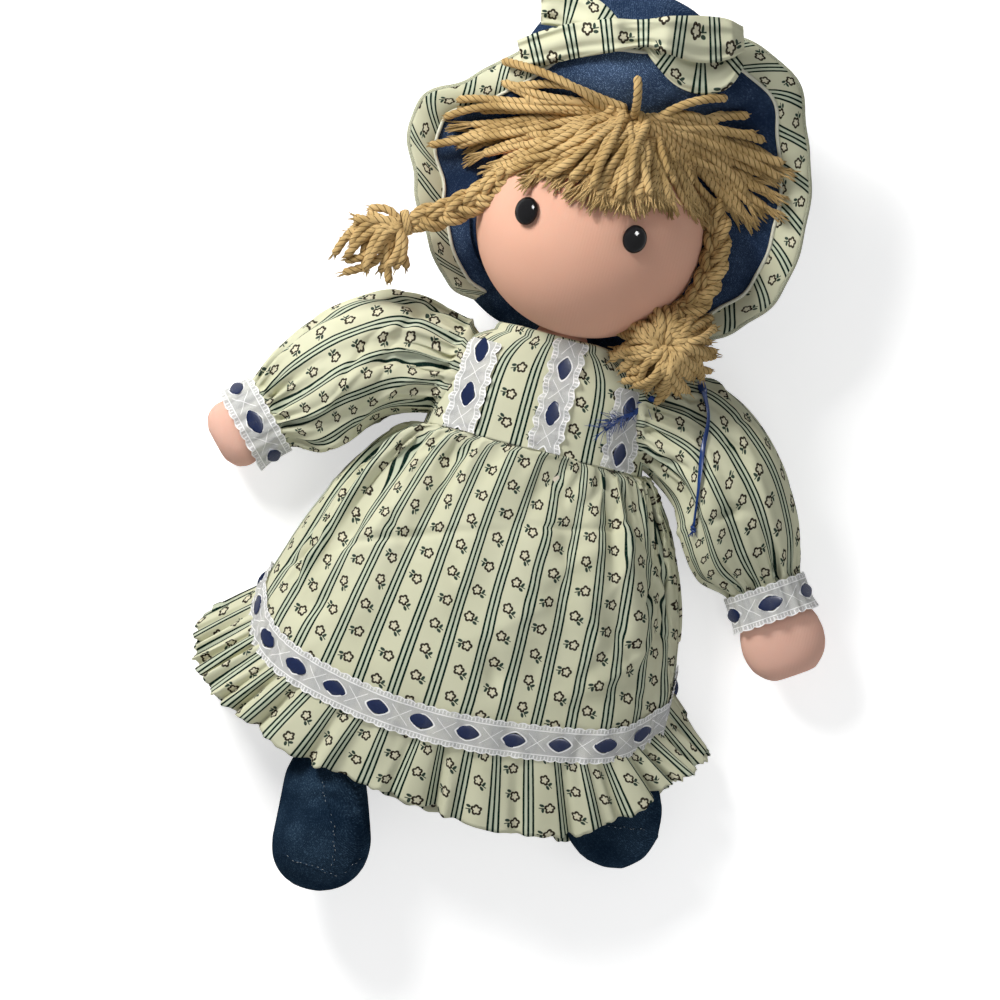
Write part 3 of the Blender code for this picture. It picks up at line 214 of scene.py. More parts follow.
def print_cotton(name="printed_cotton", shade=1.0):
    """Cream cotton with triple green stripes and a column of small sprigged flowers between them."""
    made, tree, shader = new_material(name, 0.88)
    u, v, uv = uv_of(tree)
    _, place = object_place(tree)
    column = u / STRIPE
    wobble = (noise(tree, uv, 260.0, 1.0) - 0.5) * 0.00020
    away = ((column + 0.5).do("FRACT") - 0.5).do("ABSOLUTE") * STRIPE + wobble
    lines = both(near(away, 0, LINE_HALF, LINE_SOFT), near(away, STRIPE_LINE, LINE_HALF, LINE_SOFT))
    ink = noise(tree, uv, 900.0, 2.0)
    lines = lines * (0.90 + 0.2 * ink)
    band = 1 - ramp(away, STRIPE_LINE - 0.0001, STRIPE_LINE + 0.0002)

    cell = column.do("FLOOR")
    row = v / SPRIG + cell * 0.37
    turn_source = tree.nodes.new("ShaderNodeTexWhiteNoise")
    turn_source.noise_dimensions = "2D"
    tree.links.new(vector(tree, cell, row.do("FLOOR")), turn_source.inputs["Vector"])
    turn = Num(tree, turn_source.outputs["Value"])
    x = (column.do("FRACT") - 0.5) * STRIPE + (turn * 7.0).do("FRACT") * 0.0018 - 0.0009
    y = (row.do("FRACT") - 0.5) * SPRIG
    angle = ((turn * 3.0).do("FRACT") - 0.5).do("SIGN") * 1.2 + turn * 0.9
    c, s = angle.do("COSINE"), angle.do("SINE")
    along = x * s + y * c + 0.0012
    across = x * c - y * s
    reach = (along * along + across * across).do("SQRT")
    petals = (along.do("ARCTAN2", across) * 2.5).do("COSINE").do("ABSOLUTE")
    rim = FLOWER * (0.74 + 0.36 * petals)
    flower = 1 - ramp((reach - rim).do("ABSOLUTE"), 0.00046, 0.00068)
    heart = 1 - ramp(reach - rim, -0.0004, -0.0001)
    leaf_a = ((along - 0.0040) * (along - 0.0040) + (across - 0.0010) * (across - 0.0010) * 3.2).do("SQRT")
    leaf_b = ((along - 0.0033) * (along - 0.0033) * 3.2 + (across + 0.0012) * (across + 0.0012)).do("SQRT")
    stem = near(across + along * 0.2 - 0.0004, 0, 0.00025, 0.0001) * near(along, 0.0036, 0.0018, 0.0002)
    leaves = both(both(1 - ramp(leaf_a, 0.00110, 0.0014), 1 - ramp(leaf_b, 0.00110, 0.0014)), stem)

    soft = noise(tree, place, 26.0, 3.0)
    # A shade below one darkens the whole print evenly: painted shade.
    pale, deep = (tuple(c * shade for c in cream) for cream in (CREAM_PALE, CREAM_DEEP))
    colour = blend_colour(tree, soft, deep, pale)
    colour = blend_colour(tree, band * 0.55, colour, BAND_GREEN)
    colour = blend_colour(tree, heart * 0.4, colour, FLOWER_HEART)
    colour = blend_colour(tree, leaves * 0.95, colour, LEAF_INK)
    colour = blend_colour(tree, flower * (0.85 + 0.2 * ink), colour, FLOWER_INK)
    colour = blend_colour(tree, lines, colour, LINE_INK)
    tree.links.new(colour, shader.inputs["Base Color"])
    weave = noise(tree, uv, 1500.0, 1.0) * 0.6 + noise(tree, place, 220.0, 3.0) * 0.8
    bump(tree, shader, weave, 0.00012, 0.5)
    return made


TWILL = 0.0011


def denim(name, dark, light, wash, patch=None):
    """Twill denim: dark warp with fine pale weft specks, and paler in a washed patch round a place."""
    made, tree, shader = new_material(name, 0.92)
    (x, y, z), place = object_place(tree)
    diagonal = x + y + z
    counter = x - y + z * 0.4
    ridge = (diagonal * (2 * math.pi / TWILL)).do("SINE") * 0.5 + 0.5
    threads = noise(tree, vector(tree, diagonal * 1500.0, counter * 420.0, z * 420.0), 1.0, 2.0)
    fleck = vector(tree, diagonal * 1900.0, counter * 900.0, z * 900.0)
    specks = ramp(noise(tree, fleck, 1.0, 1.0), 0.56, 0.68)
    cloud = ramp(noise(tree, place, 45.0, 3.0), 0.30, 0.74)
    amount = (threads * 0.45 + specks * 0.75 + ridge * 0.20) * wash * (0.40 + cloud)
    if patch:
        (px, py), reach = patch
        far = ((x - px) * (x - px) * 0.35 + (y - py) * (y - py)).do("SQRT")
        far = far + (noise(tree, place, 60.0, 3.0) - 0.5) * 0.02
        worn = specks * 0.45 + ridge * 0.12 + threads * 0.14
        amount = amount + (1 - ramp(far, reach * 0.35, reach)) * worn
    amount = calc(tree, "MINIMUM", amount, 1.0)
    tree.links.new(blend_colour(tree, amount, dark, light), shader.inputs["Base Color"])
    bump(tree, shader, threads + ridge * 0.6, 0.00025, 0.6)
    return made


def knit(name, colour, deep):
    """Fine flesh-coloured knit with a faint upright rib."""
    made, tree, shader = new_material(name, 0.74)
    shader.inputs["Subsurface Weight"].default_value = 0.12
    shader.inputs["Subsurface Radius"].default_value = (0.004, 0.0015, 0.001)
    shader.inputs["Subsurface Scale"].default_value = 1.0
    (x, y, z), place = object_place(tree)
    fibre = noise(tree, vector(tree, x * 900.0, y * 260.0, z * 260.0), 1.0, 2.0)
    rib = ((x * 4200.0).do("SINE") * 0.5 + 0.5) * 0.6 + fibre
    tone = noise(tree, place, 18.0, 2.0)
    tree.links.new(blend_colour(tree, ramp(tone, 0.3, 0.7) * 0.5, colour, deep), shader.inputs["Base Color"])
    bump(tree, shader, rib, 0.00012, 0.35)
    return made


def plain_cotton(name, colour, deep):
    """Plain woven cotton."""
    made, tree, shader = new_material(name, 0.9)
    _, place = object_place(tree)
    tone = noise(tree, place, 40.0, 3.0)
    tree.links.new(blend_colour(tree, tone, colour, deep), shader.inputs["Base Color"])
    bump(tree, shader, noise(tree, place, 1400.0, 2.0), 0.0002, 0.5)
    return made


# The lace's repeat with half its slot, half its width in cloth coordinates and its edge's repeat
WINDOW = 0.0222
SLOT_HALF = (0.0057, 0.0030)
LACE_HALF = 0.0063
SCALLOP = 0.0055


def lace_net(name):
    """White lace: a fine net with a dense edge, crossed threads and a bound slot for each ribbon."""
    made, tree, shader = new_material(name, 0.8)
    u, across, uv = uv_of(tree)
    shift = (u / WINDOW).do("FRACT") - 0.5
    along = shift * WINDOW
    shift = shift.do("ABSOLUTE")
    edge = across.do("ABSOLUTE")
    slot = (along / SLOT_HALF[0]).do("ABSOLUTE").do("POWER", 1.4)
    slot = slot + (across / SLOT_HALF[1]).do("ABSOLUTE").do("POWER", 1.4)
    ring = 1 - ramp((slot - 1.08).do("ABSOLUTE"), 0.10, 0.20)
    cross = near(edge - (0.5 - shift) * 0.0150, 0, 0.0003, 0.00022) * ramp(shift, 0.24, 0.30)
    border = ramp(edge, 0.0046, 0.0052) * (0.6 + 0.4 * ((u * 3600.0).do("SINE")))
    rail = both(near(edge, 0.0047, 0.00028, 0.00015), near(edge, 0.0062, 0.0003, 0.00015))
    mesh_u, mesh_v = (((u + across) * 5200.0).do("SINE"), ((u - across) * 5200.0).do("SINE"))
    net = ramp((mesh_u * mesh_v).do("ABSOLUTE"), 0.02, 0.50)
    motif = ramp(noise(tree, uv, 420.0, 2.0), 0.50, 0.60)
    cover = both(both(ring, cross), both(rail, border))
    cover = both(both(cover, motif * 0.55), net * 0.30 + 0.46)
    cover = cover * (1 - (1 - ramp(slot, 0.90, 1.0)) * 0.97)
    tree.links.new(calc(tree, "MINIMUM", cover, 1.0).socket, shader.inputs["Alpha"])
    white = blend_colour(tree, cover, (0.66, 0.67, 0.68), (0.90, 0.90, 0.90))
    tree.links.new(white, shader.inputs["Base Color"])
    bump(tree, shader, cover, 0.0005, 0.8)
    return made


def satin(name, colour, bright, roughness=0.34):
    """Woven satin ribbon."""
    made, tree, shader = new_material(name, roughness)
    shader.inputs["Specular IOR Level"].default_value = 0.2
    _, place = object_place(tree)
    streak = noise(tree, place, 900.0, 3.0)
    tree.links.new(blend_colour(tree, streak, colour, bright), shader.inputs["Base Color"])
    bump(tree, shader, streak, 0.0002, 0.4)
    return made


def yarn_wool(name, bright, mid, deep):
    """Plied wool streaked with fibres, with painted shade darkening the hollows between the plies."""
    made, tree, shader = new_material(name, 0.93, 0.08, (1.0, 0.9, 0.7))
    u, v, _ = uv_of(tree)
    _, place = object_place(tree)
    turn = u * 3.0 - v / PLY_PITCH * 3.0
    ply = (turn * math.pi).do("COSINE").do("ABSOLUTE")
    fibre = noise(tree, vector(tree, turn * 9.0, v * 500.0), 1.0, 2.0)
    tone = noise(tree, place, 70.0, 2.0)
    body = blend_colour(tree, ramp(tone * 0.6 + fibre * 0.4, 0.34, 0.62), mid, bright)
    # The deep colour laid between the plies is painted shade.
    tree.links.new(blend_colour(tree, 1 - ramp(ply, 0.0, 0.52), body, deep), shader.inputs["Base Color"])
    bump(tree, shader, fibre, 0.0005, 0.7)
    return made


def gloss(name, colour, roughness):
    """Moulded plastic with faint handling marks."""
    made, tree, shader = new_material(name, roughness)
    shader.inputs["Specular IOR Level"].default_value = 0.12
    _, place = object_place(tree)
    marks = noise(tree, place, 160.0, 3.0)
    bright = tuple(min(1, c * 1.25 + 0.002) for c in colour)
    tree.links.new(blend_colour(tree, marks, colour, bright), shader.inputs["Base Color"])
    bump(tree, shader, marks, 0.0001, 0.06)
    return made


PLY_PITCH, PLY_DEPTH = 0.0104, 0.20
WEFT = (0.22, 0.34, 0.56)
WORN_PATCH = ((-0.004, 0.168), 0.026)
COTTON = print_cotton()
# A darker copy of the print for the brim's border and its rolled edge: painted shade.
COTTON_PAINTED_SHADE = print_cotton("printed_cotton_border_painted_shade", 0.94)
DENIM_WASHED = denim("denim_washed", (0.003, 0.011, 0.038), WEFT, 0.34, WORN_PATCH)
DENIM_CROWN = denim("denim_crown", (0.003, 0.012, 0.040), WEFT, 0.34)
DENIM_BOOT = denim("denim_boot", (0.0016, 0.0075, 0.0200), (0.14, 0.25, 0.38), 0.26)
FLESH = knit("face_knit", (0.755, 0.435, 0.320), (0.70, 0.385, 0.275))
MUSLIN = plain_cotton("muslin", (0.66, 0.58, 0.47), (0.74, 0.67, 0.57))
LACE = lace_net("lace")
NAVY = satin("navy_satin", (0.003, 0.008, 0.034), (0.007, 0.018, 0.075), 0.42)
BLUE = satin("blue_satin", (0.005, 0.024, 0.115), (0.012, 0.055, 0.24))
HAND_FLESH = knit("hand_knit", (0.760, 0.470, 0.375), (0.71, 0.42, 0.33))
# Yarn: the third colour is painted shade for the hollows between the plies.
WOOL = yarn_wool("yarn", (0.66, 0.465, 0.215), (0.40, 0.265, 0.105), (0.150, 0.092, 0.034))
EYE_BLACK = gloss("black_gloss", (0.006, 0.006, 0.007), 0.10)
WASHER = gloss("washer_plastic", (0.70, 0.70, 0.67), 0.45)
STITCH = plain_cotton("stitch_thread", (0.40, 0.44, 0.48), (0.55, 0.58, 0.60))
PIPING = plain_cotton("piping", (0.62, 0.62, 0.50), (0.72, 0.71, 0.60))


# Meshes
def make_mesh(name, points, faces, material, uvs=None, smooth=True):
    """A piece from points, faces and one uv pair for each corner."""
    mesh = bpy.data.meshes.new(name)
    mesh.from_pydata([tuple(map(float, p)) for p in points], [], [tuple(map(int, f)) for f in faces])
    if uvs is not None:
        layer = mesh.uv_layers.new(name="fabric")
        layer.data.foreach_set("uv", np.asarray(uvs, np.float32).ravel())
    if smooth:
        mesh.shade_smooth()
    mesh.update()
    made = bpy.data.objects.new(name, mesh)
    made.data.materials.append(material)
    bpy.context.scene.collection.objects.link(made)
    return made


def grid_faces(rows, columns, closed):
    """Faces of a grid, and for each corner its row and column in an open grid of coordinates."""
    faces, corners = [], []
    for r in range(rows - 1):
        for c in range(columns if closed else columns - 1):
            d = (c + 1) % columns
            faces.append((r * columns + c, r * columns + d, (r + 1) * columns + d, (r + 1) * columns + c))
            corners.extend(((r, c), (r, c + 1), (r + 1, c + 1), (r + 1, c)))
    return faces, corners


def cloth_grid(name, points, coords, material, closed=True, wall=0.0008, inside=None, up=False):
    """A sheet through a grid of points, with cloth coordinates in metres if it has any, thickened inwards."""
    rows, columns = points.shape[:2]
    faces, corners = grid_faces(rows, columns, closed)
    if coords is None:
        coords = np.zeros((rows, columns + 1, 2))
    uvs = [coords[r, c] for r, c in corners]
    made = make_mesh(name, points.reshape(-1, 3), faces, material, uvs)
    mesh = made.data
    if up:
        facing = sum(f.normal.z * f.area for f in mesh.polygons)
    else:
        middle = Vector(inside if inside is not None else points.reshape(-1, 3).mean(axis=0))
        facing = sum(f.normal.dot(f.center - middle) * f.area for f in mesh.polygons)
    if facing < 0:
        mesh.flip_normals()
    if wall:
        step = made.modifiers.new("wall", "SOLIDIFY")
        step.thickness = wall
        step.offset = -1
        apply_modifiers(made)
    return made


def apply_modifiers(made):
    """Write a piece's modifiers into its mesh."""
    bpy.context.view_layer.update()
    graph = bpy.context.evaluated_depsgraph_get()
    mesh = bpy.data.meshes.new_from_object(made.evaluated_get(graph), depsgraph=graph)
    made.modifiers.clear()
    old = made.data
    made.data = mesh
    bpy.data.meshes.remove(old)


def settle(points, lengths, girth, held, pressure, reach, frames=20):
    """Let a closed grid of cloth gather and billow in the cloth solver.

    The cloth is cut as a tube of the given girth and lengths down each column. Points whose held is 1
    stay where they start, and no other moves further than reach.
    """
    rows, columns = points.shape[:2]
    faces, _ = grid_faces(rows, columns, True)
    made = make_mesh("settling", points.reshape(-1, 3), faces, MUSLIN)
    middle = Vector(points.reshape(-1, 3).mean(axis=0))
    if sum(f.normal.dot(f.center - middle) * f.area for f in made.data.polygons) < 0:
        made.data.flip_normals()
    group = made.vertex_groups.new(name="held")
    for index, weight in enumerate(held.reshape(-1)):
        if weight > 0:
            group.add([index], float(weight), "REPLACE")
    turn = full_circle(columns)[None, :] + np.zeros((rows, 1))
    radius = girth / (2 * math.pi)
    cut = np.stack([radius * np.cos(turn), radius * np.sin(turn), -lengths], axis=-1)
    made.shape_key_add(name="Basis")
    flat = made.shape_key_add(name="cut")
    flat.data.foreach_set("co", cut.reshape(-1))
    solver = made.modifiers.new("cloth", "CLOTH")
    cloth = solver.settings
    cloth.quality = 4
    cloth.mass = 0.15
    cloth.tension_stiffness = cloth.compression_stiffness = 15
    cloth.shear_stiffness = 4
    cloth.bending_stiffness = 0.05
    cloth.use_pressure = True
    cloth.uniform_pressure_force = pressure
    cloth.vertex_group_mass = "held"
    cloth.rest_shape_key = flat
    cloth.effector_weights.gravity = 0
    solver.collision_settings.use_collision = False
    solver.point_cache.frame_end = frames
    for frame_number in range(1, frames + 1):
        bpy.context.scene.frame_set(frame_number)
    graph = bpy.context.evaluated_depsgraph_get()
    mesh = made.evaluated_get(graph).to_mesh()
    settled = np.empty(rows * columns * 3)
    mesh.vertices.foreach_get("co", settled)
    bpy.data.objects.remove(made)
    bpy.context.scene.frame_set(1)
    moved = settled.reshape(rows, columns, 3) - points
    far = np.maximum(np.linalg.norm(moved, axis=-1, keepdims=True), 1e-9)
    return points + moved * (reach * np.tanh(far / reach) / far)


def flat_cut(made, layers=1):
    """The width and length of a rectangle as large as a piece's flat cloth, from its cloth coordinates."""
    layer = made.data.uv_layers["fabric"]
    uvs = np.empty(len(layer.data) * 2, np.float32)
    layer.data.foreach_get("uv", uvs)
    uvs = uvs.reshape(-1, 2).astype(float)
    area = 0.0
    for face in made.data.polygons:
        corner = uvs[list(face.loop_indices)]
        x, y = corner[:, 0], corner[:, 1]
        area += abs(np.dot(x, np.roll(y, -1)) - np.dot(y, np.roll(x, -1))) / 2
    length = float(uvs[:, 1].max() - uvs[:, 1].min())
    return area / layers / length, length


def grid_normals(points, closed, outside):
    """Outward normals over a grid of points; outside is a point-wise direction that they agree with."""
    if closed:
        du = np.roll(points, -1, axis=1) - np.roll(points, 1, axis=1)
    else:
        du = np.gradient(points, axis=1)
    dv = np.gradient(points, axis=0)
    normal = np.cross(du, dv)
    length = np.linalg.norm(normal, axis=2, keepdims=True)
    normal = normal / np.maximum(length, 1e-12)
    sign = np.sign((normal * outside).sum(axis=2, keepdims=True))
    return normal * np.where(sign == 0, 1, sign)


def smooth_step(value, low, high):
    """0 below low, 1 above high, smooth between."""
    t = np.clip((value - low) / (high - low), 0, 1)
    return t * t * (3 - 2 * t)


def unit(vectors):
    """The same directions with length one."""
    return vectors / np.maximum(np.linalg.norm(vectors, axis=-1, keepdims=True), 1e-12)


def full_circle(count, start=0.0):
    """Even angles round a full turn."""
    return 2 * math.pi * np.arange(count) / count + start


def on_sphere(tilt, turn):
    """Points of a sphere of radius one."""
    parts = np.sin(tilt) * np.cos(turn), np.sin(tilt) * np.sin(turn), np.cos(tilt)
    return np.stack(np.broadcast_arrays(*parts), axis=-1)


def travelled(path):
    """Distance along an open path at each of its points."""
    return np.r_[0, np.cumsum(np.linalg.norm(np.diff(path, axis=0), axis=1))]


def lifted(points, out, off, clear):
    """Points moved off their surface, and none lower than clear."""
    points = points + out * off[..., None]
    points[..., 2] = np.maximum(points[..., 2], clear)
    return points


def closed_row(values):
    """Values over a closed grid's columns, with the first one again at the end."""
    return np.concatenate([values, values[:, :1]], axis=1)


def cloth_coords(across, down):
    """Cloth coordinates of a grid from its two distances."""
    return np.stack(np.broadcast_arrays(across, down), axis=-1)


def whole(marks, step):
    """How many steps fit between the first and the last mark, to the nearest whole one."""
    return round((marks[-1] - marks[0]) / step)


def stretched(marks, total):
    """Marks scaled to span a total."""
    return marks * total / (marks[-1] - marks[0])


def ripple(u, v, seed, count=7, low=2, high=9):
    """Gentle seeded waves over a closed coordinate u and an open one v, about -1 to 1."""
    draw = random.Random(seed)
    total = np.zeros(np.broadcast(u, v).shape)
    for _ in range(count):
        total = total + draw.uniform(0.5, 1) * np.sin(
            2 * math.pi * (draw.randint(low, high) * u + draw.uniform(-1.5, 1.5) * v) + draw.uniform(0, 6.28))
    return total / (count * 0.55)


def creases(u, v, seed, count, width, depth, reach):
    """Narrow seeded valleys over a closed coordinate u that start at v = 0 and fade out over reach."""
    draw = random.Random(seed)
    total = np.zeros(np.broadcast(u, v).shape)
    for k in range(count):
        place = (k + draw.uniform(-0.45, 0.45)) / count + draw.uniform(-0.05, 0.05) * v
        apart = (u - place + 0.5) % 1 - 0.5
        half = width * draw.uniform(0.7, 1.4) * (1 + 1.5 * v)
        deep = draw.uniform(0.25, 1) * depth
        total = total - deep * np.exp(-(apart / half) ** 2 - v / (reach * draw.uniform(0.4, 1.7)))
    return total


def wrinkles(u, v, seed, count, height, girth, length):
    """Short curved ridges and valleys scattered over a closed cloth."""
    draw = random.Random(seed)
    total = np.zeros(np.broadcast(u, v).shape)
    for _ in range(count):
        x = ((u - draw.random() + 0.5) % 1 - 0.5) * girth
        y = (v - draw.uniform(0.05, 0.85)) * length
        turn = draw.gauss(0, 0.55)
        along = x * math.sin(turn) + y * math.cos(turn)
        across = x * math.cos(turn) - y * math.sin(turn) + along * along * draw.uniform(-12, 12)
        reach, half = draw.uniform(0.008, 0.026), draw.uniform(0.0014, 0.0034)
        total = total + height * draw.uniform(-1, 0.7) * np.exp(-(along / reach) ** 2 - (across / half) ** 2)
    return total


def finer_grid(points):
    """The same closed grid with a point between each two, on smooth curves."""
    outer = np.roll(points, 1, axis=1) + np.roll(points, -2, axis=1)
    between = (9 * (points + np.roll(points, -1, axis=1)) - outer) / 16
    wide = np.stack([points, between], axis=2).reshape(len(points), -1, 3)
    ends = np.concatenate([wide[:1], wide, wide[-1:]])
    tall = np.empty((2 * len(wide) - 1, *wide.shape[1:]))
    tall[::2], tall[1::2] = wide, (9 * (wide[:-1] + wide[1:]) - ends[:-3] - ends[3:]) / 16
    return tall


def smooth_path(stations, steps):
    """Points of a smooth curve through the stations, as an array."""
    knots = [np.asarray(s, float) for s in stations]
    knots = [2 * knots[0] - knots[1]] + knots + [2 * knots[-1] - knots[-2]]
    path = []
    for i in range(1, len(knots) - 2):
        a, b, c, d = knots[i - 1:i + 3]
        for k in range(steps):
            t = k / steps
            path.append(0.5 * (2 * b + (c - a) * t + (2 * a - 5 * b + 4 * c - d) * t**2
                               + (3 * b - a - 3 * c + d) * t**3))
    path.append(knots[-2])
    return np.array(path)


def even_path(points, step):
    """The same path with points a step apart."""
    points = np.asarray(points, float)
    lengths = travelled(points)
    count = max(2, int(round(lengths[-1] / step)) + 1)
    marks = np.linspace(0, lengths[-1], count)
    return np.stack([np.interp(marks, lengths, points[:, k]) for k in range(points.shape[1])], axis=1)


def frames_along(path):
    """Two directions square to a path at each point, carried along without twist."""
    tangent = unit(np.gradient(path, axis=0))
    first = np.cross(tangent[0], (0, 0, 1.0))
    if np.linalg.norm(first) < 1e-6:
        first = np.array((1.0, 0, 0))
    across = [first / np.linalg.norm(first)]
    for t in tangent[1:]:
        a = across[-1] - t * np.dot(across[-1], t)
        across.append(a / max(np.linalg.norm(a), 1e-12))
    across = np.array(across)
    return across, np.cross(tangent, across)


class Bundle:
    """Many tubes gathered into one piece."""

    def __init__(self):
        self.points, self.faces, self.uvs, self.count = [], [], [], 0

    def tube(self, path, radius, sides=12, plies=0, phase=0.0, taper=0.0016, start_taper=True):
        """Add a tube, plain or plied, with rounded ends."""
        path = np.asarray(path, float)
        rings = len(path)
        lengths = travelled(path)
        across, up = frames_along(path)
        angles = full_circle(sides)
        radius = np.broadcast_to(radius, rings).astype(float).copy()
        end = np.clip((lengths[-1] - lengths) / taper, 0, 1)
        if start_taper:
            end = np.minimum(end, np.clip(lengths / taper, 0, 1))
        radius *= 0.35 + 0.65 * np.sqrt(end)
        shape = np.ones((rings, sides))
        if plies:
            turn = angles[None, :] - 2 * math.pi * lengths[:, None] / PLY_PITCH - phase
            shape = 1 - PLY_DEPTH + PLY_DEPTH * 1.35 * np.abs(np.cos(plies / 2 * turn)) ** 0.8
        wide = (np.cos(angles) * shape)[:, :, None] * across[:, None, :]
        tall = (np.sin(angles) * shape)[:, :, None] * up[:, None, :]
        ring = path[:, None, :] + (wide + tall) * radius[:, None, None]
        self.points += [ring.reshape(-1, 3), path[[0, -1]]]

        base = self.count
        self.count += rings * sides + 2
        faces, corners = grid_faces(rings, sides, True)
        self.faces.extend(tuple(base + i for i in face) for face in faces)
        self.uvs.extend((c / sides - phase / (2 * math.pi), lengths[r]) for r, c in corners)
        first, last, row = base + rings * sides, base + rings * sides + 1, base + (rings - 1) * sides
        for c in range(sides):
            d = (c + 1) % sides
            self.faces += [(base + d, base + c, first), (row + c, row + d, last)]
            self.uvs += [(c / sides, 0)] * 3 + [(c / sides, lengths[-1])] * 3

    def yarn(self, path, radius, sides, draw):
        """Add a plied tube with its plies turned at random."""
        self.tube(path, radius, sides, plies=3, phase=draw.uniform(0, 6.28))

    def wisp(self, tip, stray, longer, radius):
        """Add a loose fibre that strays from a tip and runs past it."""
        grow = np.linspace(0, 1, len(tip))[:, None]
        hair = tip + stray * grow + (tip[-1] - tip[0]) * grow * longer
        self.tube(hair, radius, sides=5, taper=0.003, start_taper=False)

    def make(self, name, material):
        """The piece with all the tubes."""
        return make_mesh(name, np.concatenate(self.points), self.faces, material, self.uvs)


def finish_piece(made, body, slot, *nodes):
    """Tie a piece to its body and hide the solids that it stands for. Its slot is not used."""
    if body:
        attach(made, body)
    if nodes:
        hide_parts(*nodes)
    return made


def soft_copy(node, name, material, voxel, rounds):
    """A stuffed form from its CAD solid: remeshed, eased and subdivided."""
    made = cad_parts[node].copy()
    made.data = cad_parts[node].data.copy()
    made.name = name
    made.parent = None
    for key in list(made.keys()):
        if key.startswith("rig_"):
            del made[key]
    made.data.materials.clear()
    made.data.materials.append(material)
    bpy.context.scene.collection.objects.link(made)
    made.hide_render = made.hide_viewport = False
    step = made.modifiers.new("remesh", "REMESH")
    step.mode = "VOXEL"
    step.voxel_size = voxel
    step.use_smooth_shade = True
    ease = made.modifiers.new("ease", "SMOOTH")
    ease.factor = 0.5
    ease.iterations = rounds
    divide = made.modifiers.new("divide", "SUBSURF")
    divide.levels = divide.render_levels = 1
    apply_modifiers(made)
    made.data.shade_smooth()
    return made


def tree_of(*objects):
    """A ray tree over pieces, as they stand."""
    points, faces = [], []
    graph = bpy.context.evaluated_depsgraph_get()
    bpy.context.view_layer.update()
    for o in objects:
        mesh = o.evaluated_get(graph).to_mesh()
        base = len(points)
        points.extend(o.matrix_world @ v.co for v in mesh.vertices)
        faces.extend([base + i for i in f.vertices] for f in mesh.polygons)
    return BVHTree.FromPolygons(points, faces)


def top_hit(ground, x, y):
    """The first point met from above, or None."""
    return ground.ray_cast(Vector((x, y, 0.5)), Vector((0, 0, -1)))[0]


def drop(ground, x, y, fallback=0.0):
    """The height of the first surface met from above."""
    hit = top_hit(ground, x, y)
    return hit.z if hit else fallback


# Camera, light and floor
WORLD_LIGHT = 0.20
VIEW = ((0.968, -0.25, 0, -0.0092), (0.25, 0.968, 0, -0.0392), (0, 0, 1, 5.05), (0, 0, 0, 1))
LIT_PLACE = Vector((0, 0, 0.04))
FLOOR_HALF, FLOOR_DROP = 3, 0.0006


def make_camera():
    """The photo's view: from straight above, turned a little."""
    data = bpy.data.cameras.new("camera")
    data.lens, data.sensor_width = 375, 36
    data.clip_end = 20
    made = bpy.data.objects.new("camera", data)
    bpy.context.scene.collection.objects.link(made)
    made.matrix_world = Matrix(VIEW)
    bpy.context.scene.camera = made


def area_light(name, place, size, power, colour=(1, 1, 1), mirrored=False):
    """A square lamp aimed at the doll, which either lights it or shows only in its shiny parts."""
    data = bpy.data.lights.new(name, "AREA")
    data.size, data.energy, data.color = size, power, colour
    made = bpy.data.objects.new(name, data)
    made.location = place
    made.rotation_euler = (LIT_PLACE - Vector(place)).to_track_quat("-Z", "Y").to_euler()
    made.visible_glossy, made.visible_diffuse = mirrored, not mirrored
    bpy.context.scene.collection.objects.link(made)


def seen_directly(tree):
    """1 on rays from the camera and in mirror reflections, 0 where the surface only lights others."""
    path = tree.nodes.new("ShaderNodeLightPath")
    return both(Num(tree, path.outputs["Is Camera Ray"]), Num(tree, path.outputs["Is Glossy Ray"]))


def make_studio():
    """Soft light from the picture's upper left, a white floor and a white background."""
    area_light("key", (-0.70, 0.54, 0.66), 0.36, 12.6, (1.0, 0.99, 0.97))
    area_light("fill", (0.75, -0.35, 0.95), 1.1, 3.6, (0.96, 0.98, 1.0))
    area_light("front", (-0.15, -0.95, 0.60), 0.9, 1.2)
    area_light("catch", (0.42, 0.72, 0.95), 0.44, 60.0, mirrored=True)
    world = bpy.data.worlds.new("studio")
    bpy.context.scene.world = world
    world.use_nodes = True
    tree = world.node_tree
    tree.nodes["Background"].inputs["Color"].default_value = (1, 1, 1, 1)
    strength = WORLD_LIGHT + seen_directly(tree) * (1 - WORLD_LIGHT)
    tree.links.new(strength.socket, tree.nodes["Background"].inputs["Strength"])
    bpy.context.scene.view_settings.view_transform = "Standard"

    white = bpy.data.materials.new("floor_white")
    corners = [(x * FLOOR_HALF, y * FLOOR_HALF, 0) for x, y in ((-1, -1), (1, -1), (1, 1), (-1, 1))]
    floor = make_mesh("floor", corners, [(0, 1, 2, 3)], white, smooth=False)
    floor.location.z = -FLOOR_DROP
    white.use_nodes = True
    tree = white.node_tree
    shader = tree.nodes["Principled BSDF"]
    shader.inputs["Base Color"].default_value = (0.84, 0.84, 0.84, 1)
    shader.inputs["Roughness"].default_value = 1.0
    shader.inputs["Specular IOR Level"].default_value = 0.0
    shader.inputs["Emission Color"].default_value = (1, 1, 1, 1)
    tree.links.new((seen_directly(tree) * 0.55).socket, shader.inputs["Emission Strength"])


# The blue ribbon's two ends, on the CAD's routes
LONG_END_ROUTE = ((0.0700, 0.0400), (0.0775, 0.0250), (0.0790, 0.0080), (0.0815, -0.0100), (0.0840, -0.0280))
FRAYED_END_ROUTE = ((0.0500, 0.0270), (0.0440, 0.0190), (0.0370, 0.0130), (0.0310, 0.0060))


